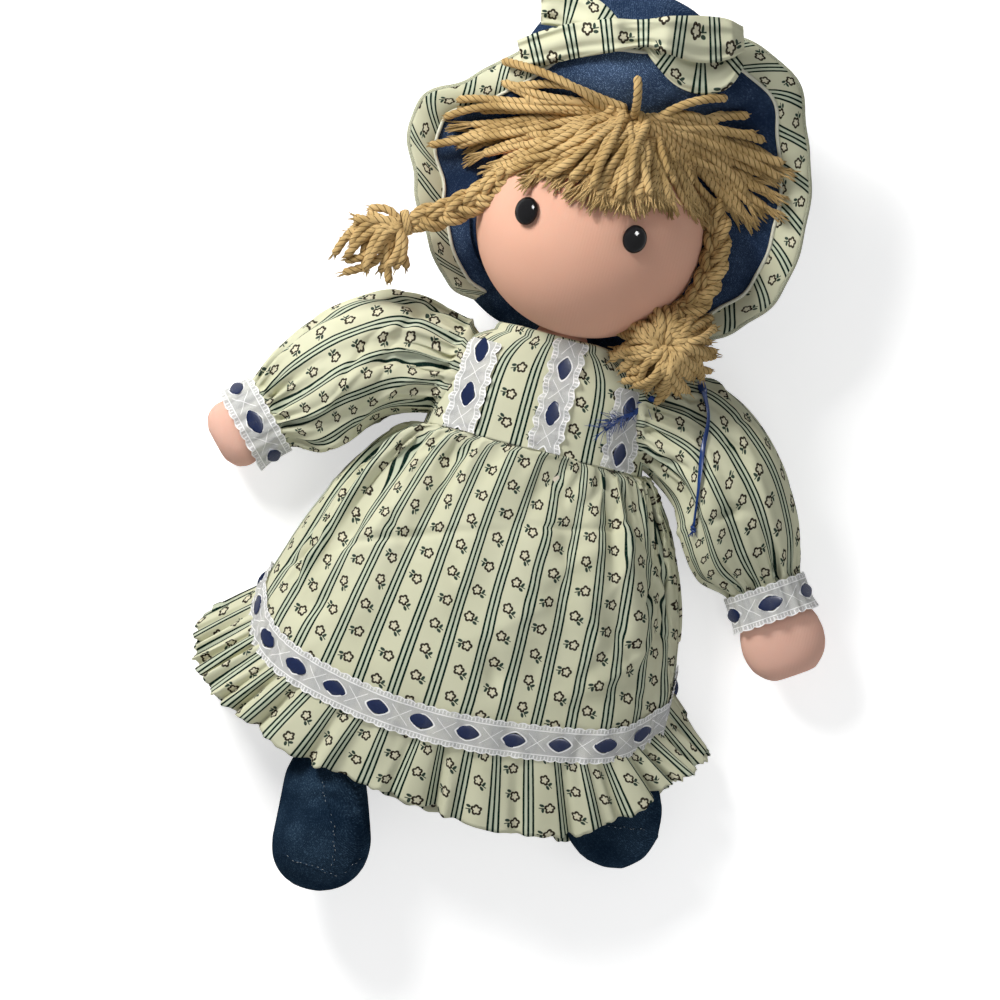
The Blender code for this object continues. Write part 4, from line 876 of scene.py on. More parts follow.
# Body and bodice: how far up, and shares of the width, depth and lift there
BODICE_LENGTH = 0.040 - WAIST_Y
BODICE_SHARES = ((0.00, 1.00, 1.00, 0.00), (0.20, 0.98, 1.00, 0.00), (0.42, 0.97, 1.00, 0.00),
                 (0.62, 0.94, 0.95, 0.01), (0.78, 0.87, 0.87, 0.07), (0.92, 0.73, 0.68, 0.27),
                 (1.00, 0.60, 0.54, 0.42))
# How far the neckline's turn goes on, and its share of the opening
NECKLINE_TURN = ((0.0022, 0.985), (0.0036, 0.955), (0.0040, 0.90), (0.0030, 0.84))


def superoval(angles, half_width, half_depth, power=2.0):
    """The two places of a rounded oval at each angle."""
    return [half * np.sign(t) * np.abs(t) ** (2 / power)
            for half, t in ((half_width, np.cos(angles)), (half_depth, np.sin(angles)))]


def around(row):
    """Distance along a closed row of points, one value more than the points, with 0 in the middle."""
    marks = travelled(np.vstack([row, row[:1]]))
    return marks - marks[-1] / 2


def down_rows(points):
    """Distance down the rows of a grid, from each column's top."""
    steps = np.linalg.norm(np.diff(points, axis=0), axis=2)
    return np.vstack([np.zeros(points.shape[1]), np.cumsum(steps, axis=0)])


def make_bodice():
    """The bodice: smooth over the chest, lightly gathered at the waist, with a turned-in neckline."""
    sides = 200
    angles = full_circle(sides, -math.pi / 2)
    rows = []
    for share, width, depth, lift in smooth_path(BODICE_SHARES, 9):
        x, z = superoval(angles, BODICE_HALF_WIDTH * width, BODICE_HALF_DEPTH * depth, BODICE_POWER)
        middle = BODICE_HALF_DEPTH - FLAT + lift * BODICE_HALF_DEPTH
        rows.append(np.stack([x, np.full(sides, WAIST_Y + BODICE_LENGTH * share), middle + z], axis=1))
    last = rows[-1]
    centre = last.mean(axis=0)
    for k, (up, shrink) in enumerate(NECKLINE_TURN):
        rows.append(centre + (last - centre) * (shrink, 1, shrink) + (0, up, 0.0006 * (k + 1)))
    points = np.array(rows)
    u = (np.arange(sides) / sides)[None, :]
    v = np.linspace(0, 1, len(rows))[:, None]
    out = grid_normals(points, True, points - points.mean(axis=(0, 1)))
    soft = 0.0006 * ripple(u, v, 11, 9, 3, 11) + 0.0007 * np.exp(-v / 0.10) * ripple(u, v, 12, 8, 24, 52)
    points = lifted(points, out, soft * np.clip(points[..., 2] / 0.006, 0, 1), 0)
    coords = cloth_coords(around(points[20]) + STRIPE / 2, -points[:, :1, 1])
    made = cloth_grid("bodice_cloth", points, coords, COTTON, wall=0.0009)
    finish_piece(made, "torso", "print_cotton", "bodice")
    return made


# Skirt and hem: half widths, how far each drops below the waist, and heights over the table
SKIRT_CENTRE_X, SKIRT_HALF_WIDTH, SKIRT_SIDE_DROP, SKIRT_FRONT_DROP = -0.0085, 0.1025, 0.097, 0.050
SKIRT_FRONT_HEIGHT, SKIRT_EDGE_HEIGHT, SKIRT_BACK_Z = 0.060, 0.008, 0.0046
SKIRT_EASE_SHARE, SIDE_PUFF, SKIRT_CLEAR = 0.52, 0.0050, 0.0004
HEM_HALF_WIDTH, HEM_SIDE_DROP, HEM_FRONT_DROP, HEM_FRONT_HEIGHT, HEM_TILT = 0.127, 0.117, 0.063, 0.052, 0.07
HEM_CORNER, HEM_CORNER_START = 0.6, 0.6
LACE_HELD, LACE_WIDTH, LACE_V, LACE_CLEAR = 0.88, 0.0170, 0.945, 0.0006
LEG_STRIP = 0.045


def skirt_angles(u):
    """Angles round the skirt, closer together at its sides."""
    return 2 * math.pi * u - 0.3 * np.sin(4 * math.pi * u)


def edge_height(s, front_height):
    """Height of a lower edge over the table, arched at the front and nearly flat behind."""
    arch = np.abs(s) ** 0.68
    front_z = SKIRT_EDGE_HEIGHT + (front_height - SKIRT_EDGE_HEIGHT) * arch
    back_z = SKIRT_EDGE_HEIGHT + (SKIRT_BACK_Z - SKIRT_EDGE_HEIGHT) * np.minimum(1, 4 * arch)
    return np.where(s < 0, back_z, front_z)


def skirt_surface(u, v):
    """The skirt without its folds, and its sine: u round from the doll's left, v down from the waist."""
    angle = skirt_angles(u)
    c, s = np.cos(angle), np.sin(angle)
    x_top, z_top = superoval(angle, BODICE_HALF_WIDTH, BODICE_HALF_DEPTH, BODICE_POWER)
    z_top = np.maximum(BODICE_HALF_DEPTH - FLAT + z_top, 0.0003)
    low_x = SKIRT_CENTRE_X + SKIRT_HALF_WIDTH * c
    low_y = WAIST_Y - SKIRT_SIDE_DROP - SKIRT_FRONT_DROP * np.abs(s) ** 0.6
    x = x_top + (low_x - x_top) * v ** SKIRT_EASE_SHARE
    x = x + SIDE_PUFF * np.sin(math.pi * np.clip(v, 0, 1)) * np.maximum(c, 0) ** 2
    y = WAIST_Y + (low_y - WAIST_Y) * v
    z = z_top + (edge_height(s, SKIRT_FRONT_HEIGHT) - z_top) * v
    z = z + np.where(s > 0, (0.005 * np.sin(math.pi * v)) * s, 0)
    return np.stack(np.broadcast_arrays(x, y, z), axis=-1), s


def skirt_folds(u, v):
    """How far the skirt's cloth stands off its plain surface: gathers at the waist and long soft folds."""
    start = np.minimum(1, v / 0.015)
    gathers = creases(u, v, 21, 52, 0.0046, 0.0048, 0.14)
    gathers = gathers + 0.0014 * ripple(u, v * 0.3, 25, 8, 20, 40) * np.exp(-v / 0.2)
    long = creases(u, v, 22, 17, 0.0100, 0.0052, 0.60)
    long = long + 0.0022 * ripple(u, v * 0.25, 26, 8, 7, 15) * np.minimum(1, v * 3)
    pucker = creases(u, np.maximum(0.92 - v, 0), 27, 58, 0.0040, 0.0013, 0.05)
    broad = 0.0020 * ripple(u, v * 0.8, 23, 6, 3, 8) * np.sin(math.pi * np.clip(v, 0, 1))
    valleys = np.maximum(gathers + long, -0.0006 - 0.040 * v)
    return 0.0012 * start + valleys * start * (1 - 0.45 * smooth_step(v, 0.7, 0.93)) + pucker + broad


def off_the_legs(points):
    """A direction out of the skirt at each point."""
    return points * (0.6, 0, 1) - (0, 0, 0.02)


def mostly_front(s, behind):
    """1 at the front, and a smaller share behind."""
    return behind + (1 - behind) * smooth_step(s, -0.05, 0.25)


def skirt_points(u, v):
    """The skirt with its folds, and the direction out of it."""
    base, s = skirt_surface(u, v)
    out = grid_normals(base, True, off_the_legs(base))
    return lifted(base, out, skirt_folds(u, v) * mostly_front(s, 0.15), SKIRT_CLEAR), out


def split_blend(made, slot, nodes, cut_layers):
    """Cut a skirt piece at the middle and over each leg into four strips, and hide its solids."""
    half = LEG_STRIP
    shape = bmesh.new()
    shape.from_mesh(made.data)
    for x in (-half, 0.0, half):
        bmesh.ops.bisect_plane(shape, geom=shape.verts[:] + shape.edges[:] + shape.faces[:], dist=1e-7,
                               plane_co=(x, 0, 0), plane_no=(1, 0, 0))
    shape.to_mesh(made.data)
    shape.free()
    mesh = made.data
    mesh.shade_smooth()
    mesh.update()
    normals = {tuple(round(c, 7) for c in v.co): v.normal.copy() for v in mesh.vertices}
    for name, low, high, leg in (
        ("right_outer", -1, -half, "leg_right"), ("right_inner", -half, 0, "leg_right"),
        ("left_inner", 0, half, "leg_left"), ("left_outer", half, 1, "leg_left"),
    ):
        strip = made.copy()
        strip.data = mesh.copy()
        strip.name = made.name + "_" + name
        bpy.context.scene.collection.objects.link(strip)
        shape = bmesh.new()
        shape.from_mesh(strip.data)
        gone = [f for f in shape.faces if not low < f.calc_center_median().x < high]
        bmesh.ops.delete(shape, geom=gone, context="FACES")
        if cut_layers == 2:
            bmesh.ops.holes_fill(shape, edges=[e for e in shape.edges if e.is_boundary], sides=0)
        shape.to_mesh(strip.data)
        shape.free()
        strip.data.normals_split_custom_set_from_vertices(
            [normals.get(tuple(round(c, 7) for c in v.co), v.normal) for v in strip.data.vertices])
        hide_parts(*nodes)
        if cut_layers:
            flat = flat_cut(strip, cut_layers)
            (flat[0], LACE_WIDTH) if slot == "lace" else flat
        # The ends of a weight that would grow with offset + alpha |x| + beta |y|, straight across the strip;
        # nothing uses them
        sign, beta = (1 if leg == "leg_left" else -1), 10.0
        alpha, offset = (1.5 / half, -1.9) if "inner" in name else (1.25, -0.4 - 1.25 * half)
        g = np.array((sign * alpha, -beta, 0.0))
        start = g * (-offset / g.dot(g))
        end = start + g / g.dot(g)
        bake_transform(strip)
    bpy.data.objects.remove(made)


def round_skirt(count):
    """Even places round the skirt, from the middle of its back."""
    return np.arange(count)[None, :] / count - 0.25


def down_skirt(rows):
    """Places down the skirt, a little closer together at the waist."""
    return (np.linspace(0, 1, rows) ** 1.1)[:, None]


def make_skirt_cloth():
    """The skirt: a tube of cloth settled in the solver, then gathered, folded and creased."""
    u, v = round_skirt(300), down_skirt(46)
    points, _ = skirt_points(u, v)
    plain, s = skirt_surface(u, v)
    marks = around(plain[int(len(v) * 0.72)])
    total = whole(marks, STRIPE) * STRIPE
    held = np.where((v >= LACE_HELD) | (s < -0.02), 1.0, 0.0)
    held[0] = 1.0
    points = finer_grid(settle(points, down_rows(plain) * 1.02, total, held, 1.6, 0.0050))

    rows, count = points.shape[:2]
    u, v = round_skirt(count), down_skirt(rows)
    plain, s = skirt_surface(u, v)
    out = grid_normals(points, True, off_the_legs(plain))
    folds = creases(u, v, 121, 46, 0.0056, 0.0048, 0.16) * np.minimum(1, v / 0.012)
    folds = folds + creases(u, v, 122, 17, 0.0080, 0.0075, 0.60) * np.minimum(1, v / 0.03)
    folds = folds + wrinkles(u, v, 123, 130, 0.0034, 0.36, 0.15) + 0.0012 * ripple(u, v * 2, 124, 9, 6, 18)
    folds = np.maximum(folds, -0.0012 - 0.030 * v) * (1 - smooth_step(v, 0.72, 0.86)) * mostly_front(s, 0.2)
    points = lifted(points, out, folds, SKIRT_CLEAR)
    marks = stretched(around(plain[int(rows * 0.72)]), total)
    sway = 0.0013 * ripple(u, v * 1.3, 125, 9, 3, 12) + 0.25 * folds
    coords = cloth_coords(marks + 0.004 + closed_row(sway), closed_row(down_rows(plain)))
    return cloth_grid("skirt_cloth", points, coords, COTTON, wall=0.0009)


def make_ruffle():
    """The hem's ruffle: pleats that start at the seam and open towards the hem."""
    rows = 22
    u = round_skirt(900)
    v = np.linspace(0, 1, rows)[:, None]
    top = skirt_points(u, np.array([[0.975], [0.985], [0.995]]))[0][1:2]
    angle = skirt_angles(u)
    c, s = np.cos(angle), np.sin(angle)
    corner = np.clip((c - HEM_CORNER_START) / (1 - HEM_CORNER_START), 0, 1)
    fan = np.abs(s) ** 0.6 * (1 - HEM_CORNER * corner)
    hem_x = SKIRT_CENTRE_X + HEM_HALF_WIDTH * c
    hem_y = WAIST_Y - HEM_SIDE_DROP - HEM_FRONT_DROP * fan - HEM_TILT * HEM_HALF_WIDTH * c * fan
    low = np.stack([hem_x, hem_y, edge_height(s, HEM_FRONT_HEIGHT)], axis=-1)
    base = top * (1 - v[..., None]) + low * v[..., None]
    outward = unit(low - top)
    out = grid_normals(base, True, (base * (0.3, 0, 0) + UP) * np.where(s < 0, -1, 1)[..., None])
    front = 0.25 + 0.75 * smooth_step(s, -0.04, 0.2)
    pleat = ripple(u, v * 0.12, 31, 6, 36, 50) + 0.25 * ripple(u, v * 0.3, 32, 5, 62, 84)
    drift = ripple(u, v * 0.2, 33, 5, 8, 20)
    valleys = creases(u, 0 * v, 36, 52, 0.0034, 0.0085, 1.0)
    off = pleat * 0.0022 * (0.16 + 0.84 * v) + drift * 0.0018 * v + (valleys + 0.0020) * (0.30 + 0.70 * v)
    reach = np.abs(pleat) * -0.0014 + valleys * 0.25 + drift * 0.0022 + 0.0007 * ripple(u, v, 34, 6, 90, 140)
    points = base + out * (off * front)[..., None] + outward * (reach * v)[..., None]
    sway = ripple(u, v * 0.2, 35, 6, 30, 50) * 0.0024 * v
    points[..., 0] += sway * np.abs(s)
    points[..., 1] += sway * c * 0.6
    points[..., 2] = np.maximum(points[..., 2], SKIRT_CLEAR)
    marks = around(points[int(rows * 0.55)])
    marks = stretched(marks, whole(marks, STRIPE) * STRIPE)
    coords = cloth_coords(marks + 0.002, closed_row(down_rows(base)))
    return cloth_grid("hem_ruffle_cloth", points, coords, COTTON, wall=0.0008)


def scallops(marks):
    """0 to 1 to 0 over each scallop of a lace's edge."""
    return np.abs(np.sin(math.pi * marks / SCALLOP)) ** 0.6


def make_skirt_lace():
    """The lace over the ruffle's seam, and the ribbon that shows in its slots."""
    u = round_skirt(960)
    line, _ = skirt_surface(u, np.full((1, 1), LACE_V))
    marks = around(line[0])
    windows = whole(marks, WINDOW)
    marks = stretched(marks, windows * WINDOW)
    across = np.linspace(-1, 1, 9)[:, None]
    width = 0.0078 + np.where(np.abs(across) > 0.9, 0.0011 * scallops(marks[:-1]), 0)
    length = down_rows(skirt_surface(u, np.linspace(0.80, 1.0, 9)[:, None])[0])[-1] / 0.20
    base, normal = skirt_points(u, LACE_V + 0.004 * ripple(u, u * 0, 41, 4, 3, 9) + across * width / length)
    wave = 0.0003 * ripple(u, across * 0.3, 42, 6, 30, 60)
    wave = wave + 0.0009 * np.abs(across) ** 2 * ripple(u, across, 43, 7, 60, 110)
    points = lifted(base, normal, np.maximum(0.0014 + wave, 0.0010), LACE_CLEAR)
    coords = cloth_coords(marks - marks[0], across * LACE_HALF)
    lace = cloth_grid("skirt_lace_band", points, coords, LACE, wall=0.0)

    pads = Pads()
    for k in range(windows):
        mark = marks[0] + (k + 0.5) * WINDOW
        place, along, out = skirt_spot(float(np.interp(mark, marks, np.r_[u[0], u[0, 0] + 1])), LACE_V)
        pads.add(place + out * 0.0010, along, out)
    return lace, pads.make("skirt_ribbon_pads", NAVY)


def make_skirt():
    """The skirt, its pleated ruffle, the lace over their seam and the ribbon in the lace."""
    skirt, ruffle = make_skirt_cloth(), make_ruffle()
    lace, ribbon = make_skirt_lace()
    for made, slot, node, cut_layers in (
        (skirt, "print_cotton", "skirt", 2), (ruffle, "print_cotton", "hem_ruffle", 2),
        (lace, "lace", "skirt_lace", 1), (ribbon, "navy_satin", "skirt_ribbon", 0),
    ):
        split_blend(made, slot, [node], cut_layers)


def skirt_spot(u, v):
    """A point on the folded skirt with its directions along the band and out of it."""
    base, s = skirt_surface(np.array([[u - 0.001, u, u + 0.001]]), np.array([[v - 0.004], [v], [v + 0.004]]))
    along, down = base[1, 2] - base[1, 0], base[2, 1] - base[0, 1]
    out = unit(np.cross(along, down))
    if out.dot(off_the_legs(base[1, 1])) < 0:
        out = -out
    off = float(skirt_folds(np.array([[u]]), np.array([[v]]))[0, 0]) * float(mostly_front(s[0, 1], 0.15))
    place = base[1, 1] + out * off
    place[2] = max(place[2], SKIRT_CLEAR)
    return place, unit(along), out


# Half length, half width and height of the ribbon that shows in a slot
PAD_LENGTH, PAD_WIDTH, PAD_HEIGHT = 0.0063, 0.0036, 0.0006


class Pads:
    """Small domed pads of ribbon that show through the slots of a lace."""

    def __init__(self):
        self.points, self.faces = [], []
        self.ball = on_sphere((math.pi * np.arange(9) / 8)[:, None], full_circle(20)[None, :])

    def add(self, place, along, out):
        """Add a pad at a place, long in one direction and domed in the other."""
        along = unit(along - out * along.dot(out))
        x, y, z = (self.ball[..., [k]] for k in range(3))
        over = np.cross(out, along) * (1 - 0.25 * np.abs(x) ** 2)
        points = place + x * along * PAD_LENGTH + y * over * PAD_WIDTH + z * out * PAD_HEIGHT
        base = len(self.points) * x.size
        self.points.append(points.reshape(-1, 3))
        self.faces.extend(tuple(base + i for i in face) for face in grid_faces(*x.shape[:2], True)[0])

    def make(self, name, material):
        """The piece with all the pads."""
        made = make_mesh(name, np.concatenate(self.points), self.faces, material)
        shape = bmesh.new()
        shape.from_mesh(made.data)
        bmesh.ops.remove_doubles(shape, verts=shape.verts, dist=1e-6)
        bmesh.ops.recalc_face_normals(shape, faces=shape.faces)
        shape.to_mesh(made.data)
        shape.free()
        made.data.shade_smooth()
        return made


# Sleeves and cuffs: half widths and depths, and the way from the shoulder to each wrist
SLEEVE_PUFF, SLEEVE_DEPTH = 0.035, 0.029
CUFF_HALF_WIDTH, CUFF_HALF_DEPTH, CUFF_LIFT = 0.0190, 0.0140, 0.006
SLEEVE_REACH = {"left": np.array((0.0704, -0.0558)), "right": np.array((-0.0725, -0.0345))}
WRIST_TURN = math.radians(18)
ARMHOLE, ARMHOLE_HALF, ARMHOLE_SLANT = (0.0478, 0.0170), (0.0258, 0.0205), 0.16
SLEEVE_SHARES = ((0.17, 0.220, 0.90, 0.96), (0.48, 0.190, 0.95, 1.00), (0.78, 0.075, 0.84, 0.82))


def sleeve_rings(side, sides, steps):
    """Rings of a sleeve from armhole to wrist, with each ring's middle and directions."""
    sign = SIGN[side]
    reach = SLEEVE_REACH[side]
    root = np.array((sign * (BODICE_HALF_WIDTH + 0.0003), SHOULDER[1]))
    along = reach / np.linalg.norm(reach)
    across = np.array((-along[1], along[0])) * sign
    track = [(sign * ARMHOLE[0], ARMHOLE[1], SHOULDER[2], *ARMHOLE_HALF)]
    for share, offset, width, depth in SLEEVE_SHARES:
        middle = root + reach * share + across * offset * SLEEVE_PUFF * 2
        half_depth = SLEEVE_DEPTH * depth
        track.append((*middle, half_depth - FLAT * depth, SLEEVE_PUFF * width, half_depth))
    wrist = root + reach
    track.append((*wrist, CUFF_HALF_DEPTH + CUFF_LIFT, CUFF_HALF_WIDTH, CUFF_HALF_DEPTH))
    along = along * math.cos(WRIST_TURN) - across * math.sin(WRIST_TURN)
    full = smooth_path(track, steps)
    count = len(full)
    w = (np.arange(count) / (count - 1))[:, None]
    turns = np.array((sign, ARMHOLE_SLANT, 0.0)) * (1 - w) + np.array((*along, 0.0)) * w
    turns /= np.linalg.norm(turns, axis=1, keepdims=True)
    over = np.cross(turns, (0, 0, 1.0))
    over /= np.linalg.norm(over, axis=1, keepdims=True)
    up = np.cross(over, turns)
    angles = 2 * math.pi * np.arange(sides) / sides - math.pi / 2
    points = np.zeros((count, sides, 3))
    for k in range(count):
        a, b = superoval(angles, full[k, 3], full[k, 4])
        points[k] = full[k, :3] + over[k] * a[:, None] + up[k] * b[:, None]
    return points, full, along, np.array((*wrist, CUFF_HALF_DEPTH + CUFF_LIFT))


def make_sleeve(side):
    """A puffed sleeve, gathered into the armhole and the wrist."""
    sides = 190
    points, full, along, wrist = sleeve_rings(side, sides, 11)
    rows = len(points)
    u = (np.arange(sides) / sides)[None, :]
    s = (np.r_[0, np.cumsum(np.linalg.norm(np.diff(full[:, :3], axis=0), axis=1))])[:, None]
    length = float(s[-1, 0])
    s = s / length
    out = grid_normals(points, True, points - full[:, None, :3])
    seed = 50 if side == "left" else 60
    gathers = creases(u, s, seed, 27, 0.0105, 0.0050, 0.20) * np.minimum(1, s / 0.02)
    gathers = gathers + creases(u, 1 - s, seed + 3, 24, 0.0105, 0.0046, 0.17) * np.minimum(1, (1 - s) / 0.02)
    gathers = gathers + creases(u, s, seed + 4, 5, 0.022, 0.0046, 0.60) * np.sin(math.pi * s)
    broad = 0.0022 * ripple(u, s * 1.2, seed + 1, 7, 2, 6) * np.sin(math.pi * s)
    broad = broad + 0.0014 * np.sin(math.pi * s)
    under = np.clip(points[:, :, 2] / 0.010, 0.05, 1)
    points = points + out * ((gathers + broad) * under)[..., None]
    points[..., 2] = np.maximum(points[..., 2], 0.0003)
    marks = around(points[rows // 2])
    total = round((marks[-1] - marks[0]) / STRIPE) * STRIPE
    marks = marks * total / (marks[-1] - marks[0])
    down = down_rows(points)
    down = 0.5 * down + 0.5 * down.mean(axis=1, keepdims=True)
    held = np.zeros((rows, sides))
    held[[0, -1]] = 1.0
    points = settle(points, down * 1.03, total * 1.02, held, 2.0, 0.0050)
    points[..., 2] = np.maximum(points[..., 2], 0.0003)

    points = finer_grid(points)
    rows, sides = points.shape[:2]
    u = (np.arange(sides) / sides)[None, :]
    s = finer_grid(np.repeat(np.repeat(s[:, :, None], 4, axis=1), 3, axis=2))[:, :1, 0]
    out = grid_normals(points, True, points - points.mean(axis=1, keepdims=True))
    folds = creases(u, s, seed + 5, 28, 0.0090, 0.0040, 0.20) * np.minimum(1, s / 0.02)
    folds = folds + creases(u, 1 - s, seed + 6, 24, 0.0090, 0.0036, 0.18) * np.minimum(1, (1 - s) / 0.02)
    ends = np.minimum(1, s / 0.02) * np.minimum(1, (1 - s) / 0.1)
    folds = folds + creases(u, s, seed + 7, 6, 0.0150, 0.0040, 0.60) * ends
    folds = folds + wrinkles(u, s, seed + 8, 40, 0.0032, 0.19, 0.11)
    under = np.clip(points[:, :, 2] / 0.010, 0.05, 1)
    points = points + out * (folds * under)[..., None]
    points[..., 2] = np.maximum(points[..., 2], 0.0003)
    marks = around(points[rows // 2])
    marks = marks * total / (marks[-1] - marks[0])
    sway = 0.0011 * ripple(u, s * 1.2, seed + 9, 8, 2, 7) + 0.25 * folds

    # the seam allowance inside the armhole, and the turn under the wrist's band
    sign = SIGN[side]
    first, last, end = points[0], points[-1], np.array((*along, 0.0))
    collar = [np.column_stack([np.full(sides, sign * x), (SHOULDER[1:] + (first[:, 1:] - SHOULDER[1:]) * k)])
              for x, k in ((0.0300, 0.62), (0.0420, 0.90))]
    tuck = [wrist + (last - wrist) * k + end * d for k, d in ((0.94, 0.0008), (0.88, 0.0030))]
    points = np.array([*collar, *points, *tuck])
    v = np.r_[-0.014, -0.007, s[:, 0] * length * 1.10, length * 1.10 + 0.001, length * 1.10 + 0.003]
    coords = np.zeros((len(points), sides + 1, 2))
    coords[:, :, 0] = marks[None, :] + (0.004 if side == "left" else 0.001)
    coords[2:-2, :-1, 0] += sway
    coords[2:-2, -1, 0] += sway[:, 0]
    coords[:, :, 1] = v[:, None]
    made = cloth_grid("sleeve_cloth_" + side, points, coords, COTTON, wall=0.0008)
    finish_piece(made, "arm_" + side, "print_cotton", "sleeve_" + side)
    make_cuff(side, along, wrist)
    return made


def make_cuff(side, along, wrist):
    """The cotton band round a wrist, and the lace over it with ribbon in its slots."""
    count = 360
    heading, over, up = np.array((*along, 0.0)), np.array((-along[1], along[0], 0.0)), np.array((0, 0, 1.0))
    angles = 2 * math.pi * np.arange(count) / count - math.pi / 2

    def ring(turn, reach, out):
        """Points round the wrist, reach past it and out from its plain oval."""
        w, d = superoval(turn, CUFF_HALF_WIDTH + out, CUFF_HALF_DEPTH + out)
        return wrist + heading * reach + over * np.asarray(w)[..., None] + up * np.asarray(d)[..., None]

    marks = around(ring(angles, 0.007, 0.0))
    girth = float(marks[-1] - marks[0])
    band = ((-0.0010, -0.0008), (-0.0002, 0.0003), (0.0010, 0.0006), (0.0040, 0.0006), (0.0080, 0.0004),
            (0.0150, 0.0002), (0.0155, -0.0006))
    puckers = 0.00018 * ripple(angles / (2 * math.pi), 0 * angles, 55, 7, 8, 26)
    points = np.array([ring(angles, reach, out + puckers) for reach, out in band])
    coords = np.zeros((len(band), count + 1, 2))
    coords[:, :, 0] = marks[None, :] + 0.005
    coords[:, :, 1] = np.array([reach for reach, _ in band])[:, None] + 0.006
    made = cloth_grid("cuff_band_" + side, points, coords, COTTON, wall=0.0006)
    finish_piece(made, "arm_" + side, "print_cotton")

    windows = round(girth / WINDOW)
    marks = marks * windows * WINDOW / girth
    across = np.linspace(-1, 1, 11)
    rows = []
    for a in across:
        edge = np.sign(a) if abs(a) > 0.9 else 0.0
        picot = 0.0010 * scallops(marks[:-1]) * edge
        flare = (0.0007 + 0.0009 * np.sin(angles * 13 + 1)) * max(0, a) ** 2 + 0.0003 * np.sin(angles * 21)
        rows.append(ring(angles, 0, 0.0013 + flare) + heading * (0.0084 + 0.0082 * a + picot)[:, None])
    coords = np.zeros((len(across), count + 1, 2))
    coords[:, :, 0] = marks[None, :] - marks[0]
    coords[:, :, 1] = (across * LACE_HALF)[:, None]
    lace = cloth_grid("cuff_lace_band_" + side, np.array(rows), coords, LACE, wall=0.0)
    finish_piece(lace, "arm_" + side, "lace", "cuff_lace_" + side)
    pads = Pads()
    for k in range(windows):
        a = float(np.interp(marks[0] + (k + 0.5) * WINDOW, marks, np.r_[angles, angles[0] + 2 * math.pi]))
        turn = ring(a + 0.01, 0.0084, 0) - ring(a - 0.01, 0.0084, 0)
        turn /= np.linalg.norm(turn)
        out = np.cross(turn, heading)
        if out.dot(ring(a, 0.0084, 0) - wrist) < 0:
            out = -out
        pads.add(ring(a, 0.0084, 0.0009), turn, out)
    ribbon = pads.make("cuff_ribbon_pads_" + side, NAVY)
    finish_piece(ribbon, "arm_" + side, "navy_satin", "cuff_ribbon_" + side)


def make_stuffed():
    """The stuffed forms under the clothes, the hands, and the boots."""
    for node, name, body, material, slot, voxel, rounds, fill in (
        ("torso", "torso_body", "torso", MUSLIN, "muslin", 0.004, 4, 0.8),
        ("neck", "neck_form", "neck", FLESH, "face_knit", 0.003, 2, 0.7),
        ("upper_arm_left", "arm_form_left", "arm_left", FLESH, "face_knit", 0.003, 3, 0.6),
        ("upper_arm_right", "arm_form_right", "arm_right", FLESH, "face_knit", 0.003, 3, 0.6),
        ("thigh_left", "thigh_form_left", "leg_left", FLESH, "face_knit", 0.003, 3, 0.6),
        ("thigh_right", "thigh_form_right", "leg_right", FLESH, "face_knit", 0.003, 3, 0.6),
        ("hand_left", "hand_form_left", "arm_left", HAND_FLESH, "face_knit", 0.0018, 6, 0.8),
        ("hand_right", "hand_form_right", "arm_right", HAND_FLESH, "face_knit", 0.0018, 6, 0.8),
        ("boot_left", "boot_form_left", "leg_left", DENIM_BOOT, "denim", 0.0022, 6, 0.8),
        ("boot_right", "boot_form_right", "leg_right", DENIM_BOOT, "denim", 0.0022, 6, 0.8),
    ):
        made = soft_copy(node, name, material, voxel, rounds)
        if node.startswith("hand"):
            widen_hand(made, node.split("_")[1])
        if node.startswith("boot"):
            toe = FOOT[body][2]
            for corner in made.data.vertices:
                corner.co.y -= TOE_PUFF * float(smooth_step(-corner.co.y, toe, toe + 0.050))
        finish_piece(made, body, slot, node)
        if node.startswith("boot"):
            boot_seams(made, body)


# How much wider and longer each hand is than its solid
HAND_GROWTH = {"left": (0.24, 0.12), "right": (0.06, 0.04)}


def widen_hand(hand, side):
    """Draw a hand out past its cuff, across and along the arm."""
    _, _, along, wrist = sleeve_rings(side, 8, 2)
    over = np.array((-along[1], along[0]))
    wide, tall = HAND_GROWTH[side]
    for corner in hand.data.vertices:
        from_wrist = np.array(corner.co[:2]) - wrist[:2]
        a, b = float(from_wrist @ along), float(from_wrist @ over)
        a, b = a + max(0.0, a - 0.010) * tall, b * (1 + wide * float(smooth_step(a, 0.004, 0.018)))
        corner.co.x, corner.co.y = wrist[:2] + along * a + over * b


# Middle of each foot with the drop at which its toe starts, and the seams' places from that middle
TOE_PUFF = 0.0055
FOOT = {"leg_left": (0.0810, -0.1680, 0.140), "leg_right": (-0.0500, -0.2222, 0.188)}
FRONT_SEAM = ((-0.0075, 0.0320), (-0.0050, 0.0240), (-0.0014, 0.0185), (0.0028, 0.0116), (0.0052, 0.0023),
              (0.0076, -0.0105))
TOE_SEAM = ((-0.0181, -0.0070), (-0.0120, -0.0090), (-0.0062, -0.0092), (0.0081, -0.0108), (0.0136, -0.0089),
            (0.0160, -0.0035), (0.0220, 0.0007))


